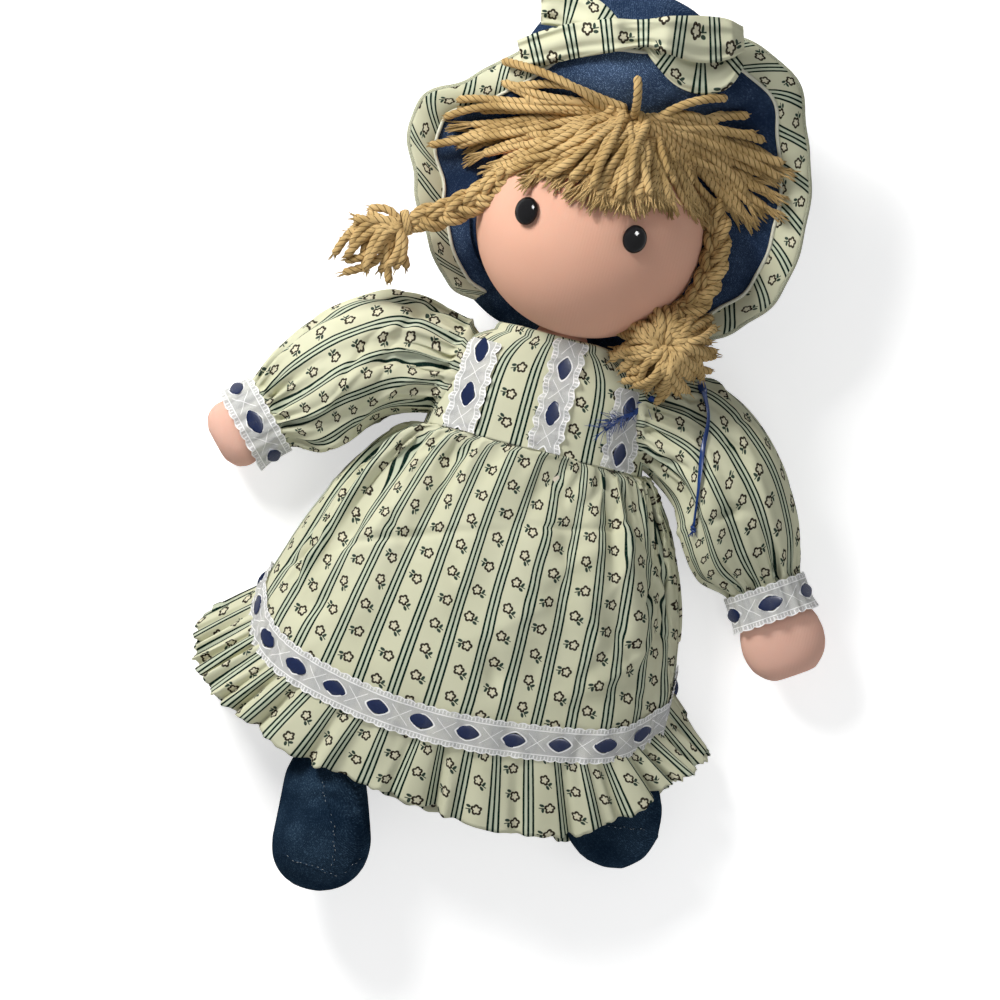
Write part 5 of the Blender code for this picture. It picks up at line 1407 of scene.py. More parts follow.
def boot_seams(boot, body):
    """The seam down a boot's front and the one round its toe, each a ridge with pale stitches."""
    x0, y0, _ = FOOT[body]
    sign = 1 if body == "leg_right" else -1
    ground = tree_of(boot)
    ridge, thread = Bundle(), Bundle()
    draw = random.Random(31)
    for seam in (FRONT_SEAM, TOE_SEAM):
        plan = even_path(smooth_path([(x0 + sign * x, y0 + y) for x, y in seam], 12), 0.0008)
        hits = [top_hit(ground, x, y) for x, y in plan]
        line = np.array([tuple(h) for h in hits if h and h.z > 0.012])
        if len(line) < 8:
            continue
        ridge.tube(line - np.array((0, 0, 0.0002)), 0.0006, sides=8)
        for k in range(1, len(line) - 3, 3):
            off = np.array((draw.uniform(-0.0007, 0.0007), draw.uniform(-0.0007, 0.0007), 0.0004))
            thread.tube(line[k:k + 2] + off, 0.00022, sides=6, taper=0.0004)
    side = body.replace("leg", "boot")
    finish_piece(ridge.make(side + "_seams", DENIM_BOOT), body, "denim")
    finish_piece(thread.make(side + "_stitches", STITCH), body, "denim")


# Head and face
EYES = {"left": np.array((0.0216, -0.0013)), "right": np.array((-0.0310, -0.0010))}


def make_head():
    """The stuffed face with its eyes set into shallow hollows."""
    rows, columns = 90, 140
    tilt = (math.pi * (np.arange(rows) + 0.02) / (rows - 0.96))[:, None]
    turn = (2 * math.pi * np.arange(columns) / columns)[None, :]
    ball = on_sphere(tilt, turn)
    half = HEAD_HALF - 0.0002
    points = HEAD_CENTRE + ball * half
    for side, eye in EYES.items():
        height = HEAD_HALF[2] * math.sqrt(1 - (eye[0] / HEAD_HALF[0])**2 - (eye[1] / HEAD_HALF[1])**2)
        seat = HEAD_CENTRE + np.array((eye[0], eye[1], height))
        far = np.linalg.norm(points - seat, axis=-1)
        points = points - ball * (0.0011 * np.exp(-(far / 0.0105)**2))[..., None]
    u = turn / (2 * math.pi)
    points = points + ball * (0.0005 * ripple(u, tilt * 0.4, 71, 6, 1, 4) * np.sin(tilt))[..., None] * 0.8
    coords = np.zeros((rows, columns + 1, 2))
    coords[:, :, 0] = np.linspace(0, 0.34, columns + 1)[None, :]
    coords[:, :, 1] = np.linspace(0, 0.17, rows)[:, None]
    made = cloth_grid("face", points, coords, FLESH, wall=0.0, inside=HEAD_CENTRE)
    finish_piece(made, "head", "face_knit", "head")
    return made


def make_eyes():
    """Two domed black eyes, each with its stem through the face."""
    for side, eye in EYES.items():
        height = HEAD_HALF[2] * math.sqrt(1 - (eye[0] / HEAD_HALF[0])**2 - (eye[1] / HEAD_HALF[1])**2)
        seat = HEAD_CENTRE + np.array((eye[0], eye[1], height))
        out = np.array((eye[0] / HEAD_HALF[0]**2, eye[1] / HEAD_HALF[1]**2, height / HEAD_HALF[2]**2))
        out /= np.linalg.norm(out)
        across = np.array((1.0, 0, 0)) - out * out[0]
        across /= np.linalg.norm(across)
        up = np.cross(out, across)
        angles = 2 * math.pi * np.arange(64) / 64
        rings = []
        profile = [(math.sin(t), 0.20 + 0.80 * math.cos(t)) for t in np.linspace(0.02, math.pi / 2, 22)]
        profile += [(0.995, 0.12), (0.96, 0.06), (0.88, 0.02), (0.6, -0.02)]
        base = seat - out * 0.0006
        for share, lift in profile:
            oval = np.cos(angles)[:, None] * across * 0.0060 + np.sin(angles)[:, None] * up * 0.0068
            rings.append(base + oval * share + out * 0.0055 * lift)
        round_stem = np.cos(angles)[:, None] * across + np.sin(angles)[:, None] * up
        for radius, depth in ((0.0020, 0.0002), (0.0020, 0.0120), (0.00002, 0.0120)):
            rings.append(base + round_stem * radius - out * depth)
        points = np.array(rings)
        coords = np.zeros((len(rings), 65, 2))
        made = cloth_grid("eye_dome_" + side, points, coords, EYE_BLACK, wall=0.0, inside=base)
        finish_piece(made, "head", "black_gloss", "eye_" + side)
        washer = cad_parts["eye_washer_" + side]
        washer.data.materials.clear()
        washer.data.materials.append(WASHER)


# Bonnet
RIM_SIDE_Z, RIM_TOP_Z, RIM_NAPE_Z = 0.046, 0.074, 0.024
CROWN_SIDE_REACH, CROWN_TOP_REACH, CROWN_NAPE_REACH = 0.061, 0.118, 0.0555
NAPE_PUFF = 0.0070
CROWN_SHARES = ((0.0, 1.0), (0.72, 0.84), (1.0, 0.56), (0.88, 0.24), (0.54, 0.06), (0.26, 0.0))
BRIM_WIDTH, BRIM_ARCH, BRIM_DISH = 0.042, 0.016, 0.003
BRIM_EDGE_Z, BRIM_END_Z, BRIM_TOP_Z = 0.052, 0.034, 0.078
BRIM_SHARES = (
    (-38, 0.24), (-31, 0.50), (-20, 0.72), (-6, 0.97), (11, 1.10), (27, 1.25), (39, 1.37), (49, 1.58),
    (61, 1.50), (74, 1.28), (90, 1.06), (108, 1.00), (129, 0.82), (145, 0.86), (156, 1.12), (165, 1.05),
    (179, 0.74), (199, 0.52), (218, 0.40), (226, 0.20),
)


def rim_height(angle):
    s = math.sin(angle)
    return RIM_SIDE_Z + ((RIM_TOP_Z if s > 0 else RIM_NAPE_Z) - RIM_SIDE_Z) * s * s


def rim_reach(angle):
    height = (rim_height(angle) - HEAD_CENTRE[2]) / HEAD_HALF[2]
    level = math.sqrt(max(0.0, 1 - height * height))
    return level / math.hypot(math.cos(angle) / HEAD_HALF[0], math.sin(angle) / HEAD_HALF[1]) + 0.0026


def round_head(angle, reach, height):
    x, y = HEAD_CENTRE[0] + reach * math.cos(angle), HEAD_CENTRE[1] + reach * math.sin(angle)
    return np.array((x, y, height))


def make_crown():
    """The bonnet's puffed crown, gathered into its rim and drawn to a flat back."""
    columns = 260
    angles = [2 * math.pi * k / columns for k in range(columns)]
    stations = []
    for row, (reach, height) in enumerate(CROWN_SHARES):
        ring = []
        for a in angles:
            s = math.sin(a)
            widest = CROWN_SIDE_REACH
            if s > 0:
                widest += (CROWN_TOP_REACH - CROWN_SIDE_REACH) * s**2.6
            else:
                widest += (CROWN_NAPE_REACH - CROWN_SIDE_REACH) * s * s
                widest += NAPE_PUFF * math.sin(2 * a) ** 2
            start = rim_reach(a)
            out = start + (widest - start) * reach if row < 3 else widest * reach
            ring.append(round_head(a, out, rim_height(a) * height - (FLAT if row > 4 else 0)))
        stations.append(np.array(ring))
    middle = np.array((HEAD_CENTRE[0], HEAD_CENTRE[1], 0.0))
    stations.append(middle + (stations[-1] - middle) * np.array((0.02, 0.02, 1)))
    points = smooth_path(stations, 9)
    rows = len(points)
    u = (np.arange(columns) / columns)[None, :]
    s = np.linspace(0, 1, rows)[:, None]
    out = grid_normals(points, True, points - HEAD_CENTRE)
    gathers = 0.0022 * ripple(u, s * 0.3, 81, 9, 18, 44) * np.exp(-s / 0.16) * np.minimum(1, s / 0.02)
    waves = 0.0024 * ripple(u, s * 0.4, 82, 8, 6, 15) * smooth_step(s, 0.02, 0.25)
    waves = waves * (1 - smooth_step(s, 0.6, 0.85))
    top = np.clip(np.sin(2 * math.pi * u), 0.25, 1)
    points = points + out * ((gathers + waves) * top)[..., None]
    points[..., 2] = np.maximum(points[..., 2], 0.0001)
    coords = np.zeros((rows, columns + 1, 2))
    made = cloth_grid("bonnet_puff", points, coords, DENIM_CROWN, wall=0.0014, inside=HEAD_CENTRE)
    finish_piece(made, "head", "denim", "bonnet_crown")
    return made


def brim_share(degrees):
    for (a, low), (b, high) in zip(BRIM_SHARES, BRIM_SHARES[1:]):
        if a <= degrees <= b:
            t = (degrees - a) / (b - a)
            return low + (high - low) * t * t * (3 - 2 * t)
    return BRIM_SHARES[0][1] if degrees < BRIM_SHARES[0][0] else BRIM_SHARES[-1][1]


BRIM_LIST = np.arange(-38, 226.1, 0.5)
BRIM_PADDED = np.pad([brim_share(d) for d in BRIM_LIST], 7, mode="edge")
BRIM_SMOOTH = np.convolve(BRIM_PADDED, np.ones(15) / 15, mode="valid")


def brim_point(degrees, v):
    """A point of the brim: v from the crown's rim to the brim's edge."""
    angle = math.radians(degrees)
    start, height = rim_reach(angle) + 0.0023, rim_height(angle) + 0.0015
    edge = HEAD_HALF[0] + BRIM_WIDTH * float(np.interp(degrees, BRIM_LIST, BRIM_SMOOTH))
    top = max(0, math.sin(angle)) ** 3
    end_fade = min(1, (degrees + 38) / 42, (226 - degrees) / 42)
    edge_z = BRIM_EDGE_Z + (BRIM_TOP_Z - BRIM_EDGE_Z) * top + (BRIM_END_Z - BRIM_EDGE_Z) * (1 - end_fade) ** 2
    camber = -BRIM_DISH + (BRIM_ARCH + BRIM_DISH) * top
    z = height + (edge_z - height) * v + 4 * camber * v * (1 - v)
    return round_head(angle, start + (edge - start) * v, z)


def border_start(degrees):
    angle = math.radians(degrees)
    width = HEAD_HALF[0] + BRIM_WIDTH * float(np.interp(degrees, BRIM_LIST, BRIM_SMOOTH)) - rim_reach(angle)
    return 1 - min(0.0150 / width, 0.50)


def make_brim():
    """The denim brim, its printed border and the piping between them."""
    steps = np.linspace(-38, 226, 440)
    u = ((steps + 38) / 264)[None, :]

    def wavy(points, v, strength):
        wave = ripple(u, v * 0.3, 91, 7, 3, 9) * 0.0016 + ripple(u, v * 0.5, 92, 8, 12, 30) * 0.0006
        return points + np.array((0, 0, 1.0)) * (wave * v * strength)[..., None]

    v = np.linspace(0, 1, 22)[:, None]
    points = np.array([[brim_point(d, border_start(d) * k) for d in steps] for k in v[:, 0]])
    points = wavy(points, v * 0.6, 1.0)
    coords = np.zeros((22, len(steps), 2))
    denim_part = cloth_grid("brim_denim", points, coords, DENIM_WASHED, closed=False, wall=0.0016, up=True)
    finish_piece(denim_part, "head", "denim", "bonnet_brim")

    rows = 18
    v = np.linspace(0, 1, rows)[:, None]
    starts = [border_start(d) for d in steps]
    points = np.array([[brim_point(d, at + 0.012 + (1 - at - 0.012) * k) for d, at in zip(steps, starts)]
                       for k in v[:, 0]])
    points = wavy(points, 0.6 + 0.4 * v, 1.0)
    puff = np.sin(math.pi * np.clip(v, 0, 1)) ** 0.6
    gathers = ripple(u, v * 0.2, 93, 8, 22, 48)
    points[..., 2] += puff * (0.0020 + 0.0007 * gathers)
    marks = np.r_[0, np.cumsum(np.linalg.norm(np.diff(points[rows // 2], axis=0), axis=1))]
    coords = np.zeros((rows, len(steps), 2))
    width = 0.019
    coords[:, :, 0] = marks[None, :] * 0.86 + v * width * 0.62
    coords[:, :, 1] = -v * width * 0.8 + marks[None, :] * 0.45
    # The border takes the darker copy of the print, which is painted shade.
    border = cloth_grid("brim_border_cloth", points, coords, COTTON_PAINTED_SHADE, closed=False, wall=0.0022, up=True)
    finish_piece(border, "head", "print_cotton", "brim_border")

    seam = Bundle()
    path = np.array([brim_point(d, border_start(d) + 0.006) for d in steps])
    path = wavy(path[None], np.full((1, 1), 0.6), 1.0)[0]
    seam.tube(path + np.array((0, 0, 0.0006)), 0.0009, sides=8)
    finish_piece(seam.make("brim_piping", PIPING), "head", "print_cotton")
    rim = Bundle()
    rim.tube(points[-1] + np.array((0, 0, -0.0009)), 0.0013, sides=8)
    # The rolled edge also takes the darker copy of the print, painted shade.
    finish_piece(rim.make("brim_edge_roll", COTTON_PAINTED_SHADE), "head", "print_cotton")
    return denim_part, border


# Bow
# Plan places from the head's centre with the half width there: the band through the pinch, the left
# loop's lower half and the loop behind the right one
BOW_BAND = ((-0.0530, 0.0712, 0.0070), (-0.0430, 0.0765, 0.0082), (-0.0300, 0.0832, 0.0084),
            (-0.0130, 0.0900, 0.0080), (0.0018, 0.0948, 0.0066), (0.0130, 0.0968, 0.0090),
            (0.0280, 0.0988, 0.0112), (0.0400, 0.1022, 0.0100), (0.0485, 0.1048, 0.0060))
BOW_UNDER = ((0.0030, 0.0925, 0.0030), (0.0140, 0.0868, 0.0062), (0.0270, 0.0830, 0.0092),
             (0.0390, 0.0860, 0.0100), (0.0470, 0.0960, 0.0060))
BOW_BEHIND = ((-0.0110, 0.0930, 0.0040), (-0.0220, 0.0965, 0.0078), (-0.0360, 0.0985, 0.0098),
              (-0.0490, 0.0955, 0.0080))


def bow_strip(name, ground, stations, thickness, lift, seed, nodes, phase=0.0, pinch=None):
    """A flattened, folded strip of the bow, laid over what is below it along its plan stations."""
    full = smooth_path(stations, 10)
    plan, half = full[:, :2] + HEAD_CENTRE[:2], full[:, 2]
    rows, columns = len(full), 96
    along = np.gradient(plan, axis=0)
    along /= np.linalg.norm(along, axis=1, keepdims=True)
    over = np.column_stack([-along[:, 1], along[:, 0], np.zeros(rows)])
    marks = np.r_[0, np.cumsum(np.linalg.norm(np.diff(plan, axis=0), axis=1))]
    share = (marks / marks[-1])[:, None]
    height = np.array([max(drop(ground, *(p + o[:2] * h * k), 0.07) for k in (-0.9, -0.45, 0, 0.45, 0.9))
                       for p, o, h in zip(plan, over, half)]) + lift
    for _ in range(20):
        height[1:-1] = np.maximum(height[1:-1], 0.25 * height[:-2] + 0.5 * height[1:-1] + 0.25 * height[2:])
    turn = 2 * math.pi * np.arange(columns)[None, :] / columns
    a, b = np.cos(turn), np.sin(turn)
    u = turn / (2 * math.pi)
    ends = np.minimum(1, np.minimum(share, 1 - share) / 0.10) ** 0.5
    deep = thickness * (0.45 + 0.55 * ends)
    w = half[:, None] * np.sign(a) * np.abs(a) ** 0.75
    d = deep * np.sign(b) * np.abs(b) ** 0.8
    fold = 0.0011 * ripple(u, share * 1.5, seed, 7, 3, 9) * ends
    fold = fold + 0.0007 * np.sin(a * 9 + 3 * share + seed) * (b > 0)
    if pinch is not None:
        near_pinch = np.exp(-((share - pinch) / 0.075) ** 2)
        fold = fold - near_pinch * (0.0012 + 0.0012 * np.cos(a * 11)) * (b > -0.3)
    points = np.stack([plan[:, 0:1] + over[:, 0:1] * w, plan[:, 1:2] + over[:, 1:2] * w,
                       (height + thickness)[:, None] + d + fold * (0.4 + 0.6 * b)], axis=-1)
    middle = points.mean(axis=1, keepdims=True)
    first = [middle[0] + (points[0] - middle[0]) * k for k in (0.02, 0.6)]
    last = [middle[-1] + (points[-1] - middle[-1]) * k for k in (0.6, 0.02)]
    points = np.array([*first, *points, *last])
    coords = np.zeros((len(points), columns + 1, 2))
    coords[:, :, 0] = np.r_[marks[0], marks[0], marks, marks[-1], marks[-1]][:, None] + phase
    coords[:, :, 1] = np.r_[w[rows // 2], w[rows // 2][:1]][None, :] + 0.0066
    made = cloth_grid(name, points, coords, COTTON, wall=0.0)
    finish_piece(made, "head", "print_cotton", *nodes)
    return made


def make_bow(ground):
    """The bow across the brim: a pinched band, a loop that folds down and a loop behind."""
    under = bow_strip("bow_loop_under", ground, BOW_UNDER, 0.0026, 0.0006, 100, ["bow_tail_left"], 0.003)
    behind = bow_strip("bow_loop_behind", ground, BOW_BEHIND, 0.0030, 0.0010, 110, ["bow_tail_right"], 0.009)
    lower = tree_of(under, behind)

    class Stack:
        """The bow's lower pieces over the ground."""

        def ray_cast(self, start, aim):
            hits = [h for h in (lower.ray_cast(start, aim), ground.ray_cast(start, aim)) if h[0]]
            return max(hits, key=lambda h: h[0].z) if hits else (None, None, None, None)

    bow_strip("bow_band", Stack(), BOW_BAND, 0.0036, 0.0004, 120,
              ["bow_loop_left", "bow_loop_right", "bow_knot"],
              0.0095, pinch=0.53)


# Hair
YARN = 0.00205
ROOT = np.array((0.0077, 0.1547))
TOP_LOCKS = ((172, 72), (178, 76), (190, 85), (204, 92), (212, 84), (218, 62), (225, 55), (247, 45),
             (267, 45),
             (290, 41), (315, 36), (332, 46), (340, 62), (350, 72), (357, 74), (365, 66), (373, 58))
LOW_LOCKS = ((200, 86), (207, 84), (214, 80), (223, 75), (233, 62), (241, 53), (260, 52), (276, 49),
             (293, 47),
             (303, 53), (315, 61), (326, 75), (333, 80), (342, 79), (350, 74))
CURLERS = ((93, 20, 5), (47, 38, -10), (38, 33, -22), (160, 58, 6))


def drape(ground, plan, lift, passes=40):
    """Heights of a plan route laid over what is below it, without following narrow hollows."""
    heights, last = [], None
    for x, y in plan:
        hit = ground.ray_cast(Vector((x, y, 0.5)), Vector((0, 0, -1)))
        z = hit[0].z if hit[0] and hit[0].z > 0.02 else None
        if z is None:
            z = last if last is not None else 0.06
        elif last is not None:
            z = max(z, last - 0.0022)
        heights.append(z)
        last = z
    heights = np.array(heights) + lift
    for _ in range(passes):
        heights[1:-1] = np.maximum(heights[1:-1], (heights[:-2] + heights[2:]) / 2)
    for _ in range(3):
        heights[1:-1] = 0.25 * heights[:-2] + 0.5 * heights[1:-1] + 0.25 * heights[2:]
    return np.column_stack([plan, heights])


def make_fringe(ground):
    """The fringe: plied strands that fan from the seam over an under layer of fluffed ends."""
    draw = random.Random(7)
    strands, fluff = Bundle(), Bundle()

    def lock(table, degrees):
        return np.interp(degrees, [t[0] for t in table], [t[1] for t in table]) / 1000

    def strand(degrees, length, start, bend, curl, wave, count):
        """A plan route from start in a direction, bent, curled at its tip and gently waved."""
        marks = np.linspace(0, 1, count)
        turn = math.radians(degrees) + bend * (marks - 0.4) + curl * np.maximum(0, marks - 0.55) ** 2
        step = np.stack([np.cos(turn), np.sin(turn)], axis=1) * (length / count)
        side = np.array((-math.sin(turn[0]), math.cos(turn[0])))
        sway = np.sin(2 * math.pi * (marks * draw.uniform(0.7, 1.5) + draw.random())) * wave
        sway = sway * np.minimum(1, marks * 2)
        return start + np.cumsum(step, axis=0) + side * sway[:, None], marks

    for i in range(84):
        degrees = 197 + 156 * i / 83 + draw.uniform(-3, 3)
        length = lock(LOW_LOCKS, degrees) * draw.uniform(0.84, 0.98)
        a = math.radians(degrees)
        spread = np.array((math.cos(a), math.sin(a) * 0.25)) * 0.012 * draw.uniform(0.4, 1.2)
        start = ROOT + spread + np.array((0, 0.002))
        plan, _ = strand(degrees, length, start, draw.uniform(-0.20, 0.20), draw.uniform(-1, 1), 0.0010, 44)
        path = even_path(drape(ground, plan, YARN * 0.8 + draw.uniform(0.0, 0.0022)), 0.0012)
        cut_at = int(len(path) * 0.88)
        strands.yarn(path[:cut_at], 0.0018, 10, draw)
        tail = path[max(cut_at - 6, 0):]
        for _ in range(10):
            side = np.array((-math.sin(a), math.cos(a), 0.0)) * draw.uniform(-0.0030, 0.0030)
            up = np.array((0, 0, 1.0)) * draw.uniform(-0.0006, 0.0020)
            grow = np.linspace(0, 1, len(tail))[:, None] ** 1.2
            wiggle = np.sin(grow * draw.uniform(5, 9) + draw.uniform(0, 6)) * 0.0003
            end = 1 + draw.uniform(-0.15, 0.20)
            hair = tail + (side + up) * grow + wiggle
            hair = hair[0] + (hair - hair[0]) * (1 + (end - 1) * grow)
            fluff.tube(hair, 0.00046, sides=5, taper=0.004, start_taper=False)

    order = list(range(78))
    draw.shuffle(order)
    for place, i in enumerate(order):
        degrees = 183 + 188 * (i / 77) + draw.uniform(-7, 7)
        down = max(0.0, -math.sin(math.radians(degrees)))
        length = lock(TOP_LOCKS, degrees) * draw.uniform(0.66 - 0.18 * down, 1.00)
        a = math.radians(degrees)
        x = draw.uniform(-0.007, 0.007) + 0.006 * math.cos(a)
        start = ROOT + np.array((x, draw.uniform(-0.002, 0.002)))
        plan, marks = strand(degrees, length, start, draw.uniform(-0.32, 0.32), draw.uniform(-1.8, 1.8),
                             draw.uniform(0.0004, 0.0016), 48)
        hump = 0.0030 + 0.0085 * place / 78 + draw.uniform(-0.001, 0.001)
        path = drape(ground, plan, YARN)
        arch = 0.40 + 0.60 * np.sin(math.pi * np.clip(marks * 0.9 + 0.08, 0, 1))
        path[:, 2] += hump * arch * (1 - 0.35 * marks)
        path[:, 2] += 0.0030 * draw.uniform(-0.6, 1) * marks ** 3
        radius = YARN * draw.uniform(0.90, 1.10)
        path = even_path(path, 0.0010)
        strands.yarn(path, radius, 14, draw)
        tip = path[-5:]
        for _ in range(6):
            side = np.array((-math.sin(a), math.cos(a), 0.0)) * draw.uniform(-0.0016, 0.0016)
            side[2] = draw.uniform(-0.0008, 0.0012)
            fluff.wisp(tip, side, draw.uniform(0.0, 0.45), 0.00036)

    for degrees, length, curl in CURLERS:
        a = math.radians(degrees)
        marks = np.linspace(0, 1, 40)
        turn = a + math.radians(curl) * 2 * (marks - 0.3)
        start = ROOT + np.array((math.cos(a) * 0.012, -0.002))
        plan = start + np.stack([np.cos(turn), np.sin(turn)], axis=1) * (marks * length / 1000)[:, None]
        path = drape(ground, plan, YARN)
        path[:, 2] += 0.0050 * np.sin(math.pi * (0.15 + 0.80 * marks)) + 0.003
        strands.yarn(even_path(path, 0.0010), YARN, 14, draw)
    made = strands.make("fringe_strands", WOOL)
    finish_piece(made, "head", "yarn", "fringe")
    finish_piece(fluff.make("fringe_fluff", WOOL), "head", "yarn")


BRAID_PATH = {
    "left": ((0.0520, 0.0260), (0.0590, 0.0140), (0.0615, -0.0010), (0.0590, -0.0200), (0.0530, -0.0290)),
    "right": ((-0.0430, 0.0150), (-0.0540, 0.0010), (-0.0660, -0.0090), (-0.0760, -0.0150),
              (-0.0840, -0.0190)),
}
TASSELS = {
    "left": [(d, 26) for d in range(0, 360, 8)],
    "right": ((165, 21), (178, 25), (192, 28), (206, 31), (220, 36), (234, 39), (248, 39), (262, 35),
              (276, 34),
              (290, 33), (304, 31)),
}


def make_pigtail(side):
    """A plait of yarn from the temple to its tie, and the loose ends beyond."""
    draw = random.Random(17 if side == "left" else 18)
    path = smooth_path([HEAD_CENTRE[:2] + np.array(p) for p in BRAID_PATH[side]], 24)
    path = even_path(np.column_stack([path, np.full(len(path), 0.0670)]), 0.0010)
    lengths = np.linspace(0, 1, len(path))
    total = len(path) * 0.0010
    rise = {"left": (0.0560, 0.064, 0.069), "right": (0.083, 0.072, 0.067)}[side]
    path[:, 2] = np.interp(lengths, (0, 0.45, 1), rise)
    across, up = frames_along(path)
    braid = Bundle()
    turns = total / 0.030
    for part in range(3):
        phase = 2 * math.pi * part / 3
        angle = 2 * math.pi * turns * lengths + phase
        middle = path + across * (np.sin(angle) * 0.0038)[:, None]
        middle = middle + up * (np.sin(2 * angle) * 0.0022)[:, None]
        ease = 1 - 0.35 * smooth_step(lengths, 0.75, 1.0)
        middle = path + (middle - path) * ease[:, None]
        sub_across, sub_up = frames_along(middle)
        for yarn in range(4):
            twist = 2 * math.pi * yarn / 4 + 2 * math.pi * lengths * turns * 0.5 + draw.uniform(-0.3, 0.3)
            line = middle + (sub_across * np.cos(twist)[:, None] + sub_up * np.sin(twist)[:, None]) * 0.0021
            braid.yarn(line, 0.00185, 10, draw)
    finish_piece(braid.make("braid_yarns_" + side, WOOL), "pigtail_" + side, "yarn", "braid_" + side)

    end, along = path[-1], path[-1] - path[-4]
    along /= np.linalg.norm(along)
    over = np.cross(along, (0, 0, 1.0))
    over /= np.linalg.norm(over)
    tie = Bundle()
    wraps = np.linspace(0, 1, 90)
    ring = 2 * math.pi * 3 * wraps
    line = (end + along * (0.0006 + 0.0028 * wraps)[:, None] + over * (np.cos(ring) * 0.0053)[:, None]
            + np.array((0, 0, 1.0)) * (np.sin(ring) * 0.0050)[:, None])
    tie.tube(line, 0.0011, sides=8, plies=3)
    finish_piece(tie.make("tie_wraps_" + side, WOOL), "pigtail_" + side, "yarn", "hair_tie_" + side)

    tassel, fluff = Bundle(), Bundle()
    knot = end + along * 0.0035
    layers = 2
    for layer in range(layers):
        for degrees, reach in TASSELS[side]:
            a = math.radians(degrees + draw.uniform(-7, 7))
            reach_m = reach / 1000 * draw.uniform(0.82, 1.04) * (1 - 0.16 * layer)
            marks = np.linspace(0, 1, 30)
            aim = np.array((math.cos(a), math.sin(a), 0.0))
            blend_in = smooth_step(marks, 0, 0.45)[:, None]
            heading = along * (1 - blend_in) + aim * blend_in
            bow = draw.uniform(-0.25, 0.25)
            sideways = np.array((-aim[1], aim[0], 0.0)) * (np.sin(math.pi * marks) * bow * reach_m)[:, None]
            if side == "left":
                arch = 0.0075 * np.sin(math.pi * np.clip(marks * 1.05, 0, 1)) * (0.5 + 0.5 * layer)
                arch = arch + 0.0035 * layer
                centre = np.array((0.0490 + HEAD_CENTRE[0], -0.0460 + HEAD_CENTRE[1], knot[2] + 0.001))
                start = centre + np.array((draw.uniform(-0.003, 0.003), draw.uniform(-0.003, 0.003), 0))
                line = start + aim * (marks * reach_m)[:, None] + sideways
                line[:, 2] += arch - 0.0085 * marks ** 2
            else:
                line = knot + np.cumsum(heading * reach_m / 29, axis=0) + sideways
                sink = draw.uniform(-0.002, 0.002) * marks - 0.004 * marks ** 2 - 0.003
                line[:, 2] += 0.0032 * layer + sink
            line = even_path(line, 0.0010)
            tassel.yarn(line, 0.0020 if side == "right" else 0.0018, 12, draw)
            tip = line[-7:]
            for _ in range(5):
                stray = np.array((draw.uniform(-1, 1), draw.uniform(-1, 1), draw.uniform(-0.6, 1))) * 0.0017
                fluff.wisp(tip, stray, draw.uniform(0, 0.5), 0.00034)
    finish_piece(tassel.make("tassel_yarns_" + side, WOOL), "pigtail_" + side, "yarn", "tassel_" + side)
    finish_piece(fluff.make("tassel_fluff_" + side, WOOL), "pigtail_" + side, "yarn")


# Trims of the bodice
def make_strips(ground):
    """Three strips of lace down the bodice's front, with ribbon in their slots."""
    for name, top_x, low_x, top_y, first_y in (("right", -0.0355, -0.0375, 0.0335, 0.0283),
                                               ("centre", 0.0052, 0.0046, 0.0430, 0.0293),
                                               ("left", 0.0398, 0.0410, 0.0275, 0.0184)):
        count = 150
        marks = np.linspace(0, 1, count)
        low_y = WAIST_Y + 0.0006
        line = np.column_stack([top_x + (low_x - top_x) * marks, top_y + (low_y - top_y) * marks])
        length = np.r_[0, np.cumsum(np.linalg.norm(np.diff(line, axis=0), axis=1))]
        phase = WINDOW / 2 - (top_y - first_y)
        rows = []
        across = np.linspace(-1, 1, 11)
        for a in across:
            edge = 0.0011 * np.abs(np.sin(math.pi * length / 0.0055)) ** 0.6 if abs(a) > 0.9 else 0 * length
            off = a * (0.0072 + edge + 0.0006 * np.sin(length * 700 + a))
            rows.append([(x + o, y, drop(ground, x + o, y, 0.035) + 0.0009) for (x, y), o in zip(line, off)])
        points = np.array(rows)
        frill = 0.0006 + 0.0008 * np.sin(length * 950 + 2 * np.sign(across)[:, None])
        frill = np.abs(across)[:, None] ** 2 * frill
        for _ in range(3):
            points[:, 1:-1, 2] = 0.25 * points[:, :-2, 2] + 0.5 * points[:, 1:-1, 2] + 0.25 * points[:, 2:, 2]
        points[:, :, 2] += 0.0002 + np.maximum(frill, 0)
        coords = np.zeros((len(across), count, 2))
        coords[:, :, 0] = length[None, :] + phase
        coords[:, :, 1] = (across * 0.0063)[:, None]
        lace = cloth_grid("bodice_lace_strip_" + name, points, coords, LACE, closed=False, wall=0.0, up=True)
        finish_piece(lace, "torso", "lace", "bodice_lace_" + name)
        pads = Pads()
        first = math.ceil((phase - WINDOW / 2) / WINDOW)
        for k in range(first, first + 6):
            mark = (k + 0.5) * WINDOW - phase
            if not 0.003 < mark < length[-1] - 0.003:
                continue
            x, y = (float(np.interp(mark, length, line[:, i])) for i in (0, 1))
            step = 0.002
            z0, z1 = drop(ground, x, y + step, 0.05), drop(ground, x, y - step, 0.05)
            zl, zr = drop(ground, x - step, y, 0.05), drop(ground, x + step, y, 0.05)
            along = np.array((0, -2 * step, z1 - z0))
            over = np.array((2 * step, 0, zr - zl))
            out = np.cross(along, over)
            out = out / np.linalg.norm(out) * (1 if out[2] > 0 else -1)
            pads.add(np.array((x, y, drop(ground, x, y, 0.05) + 0.0008)), along, out)
        ribbon = pads.make("bodice_ribbon_pads_" + name, NAVY)
        finish_piece(ribbon, "torso", "navy_satin", "bodice_ribbon_" + name)


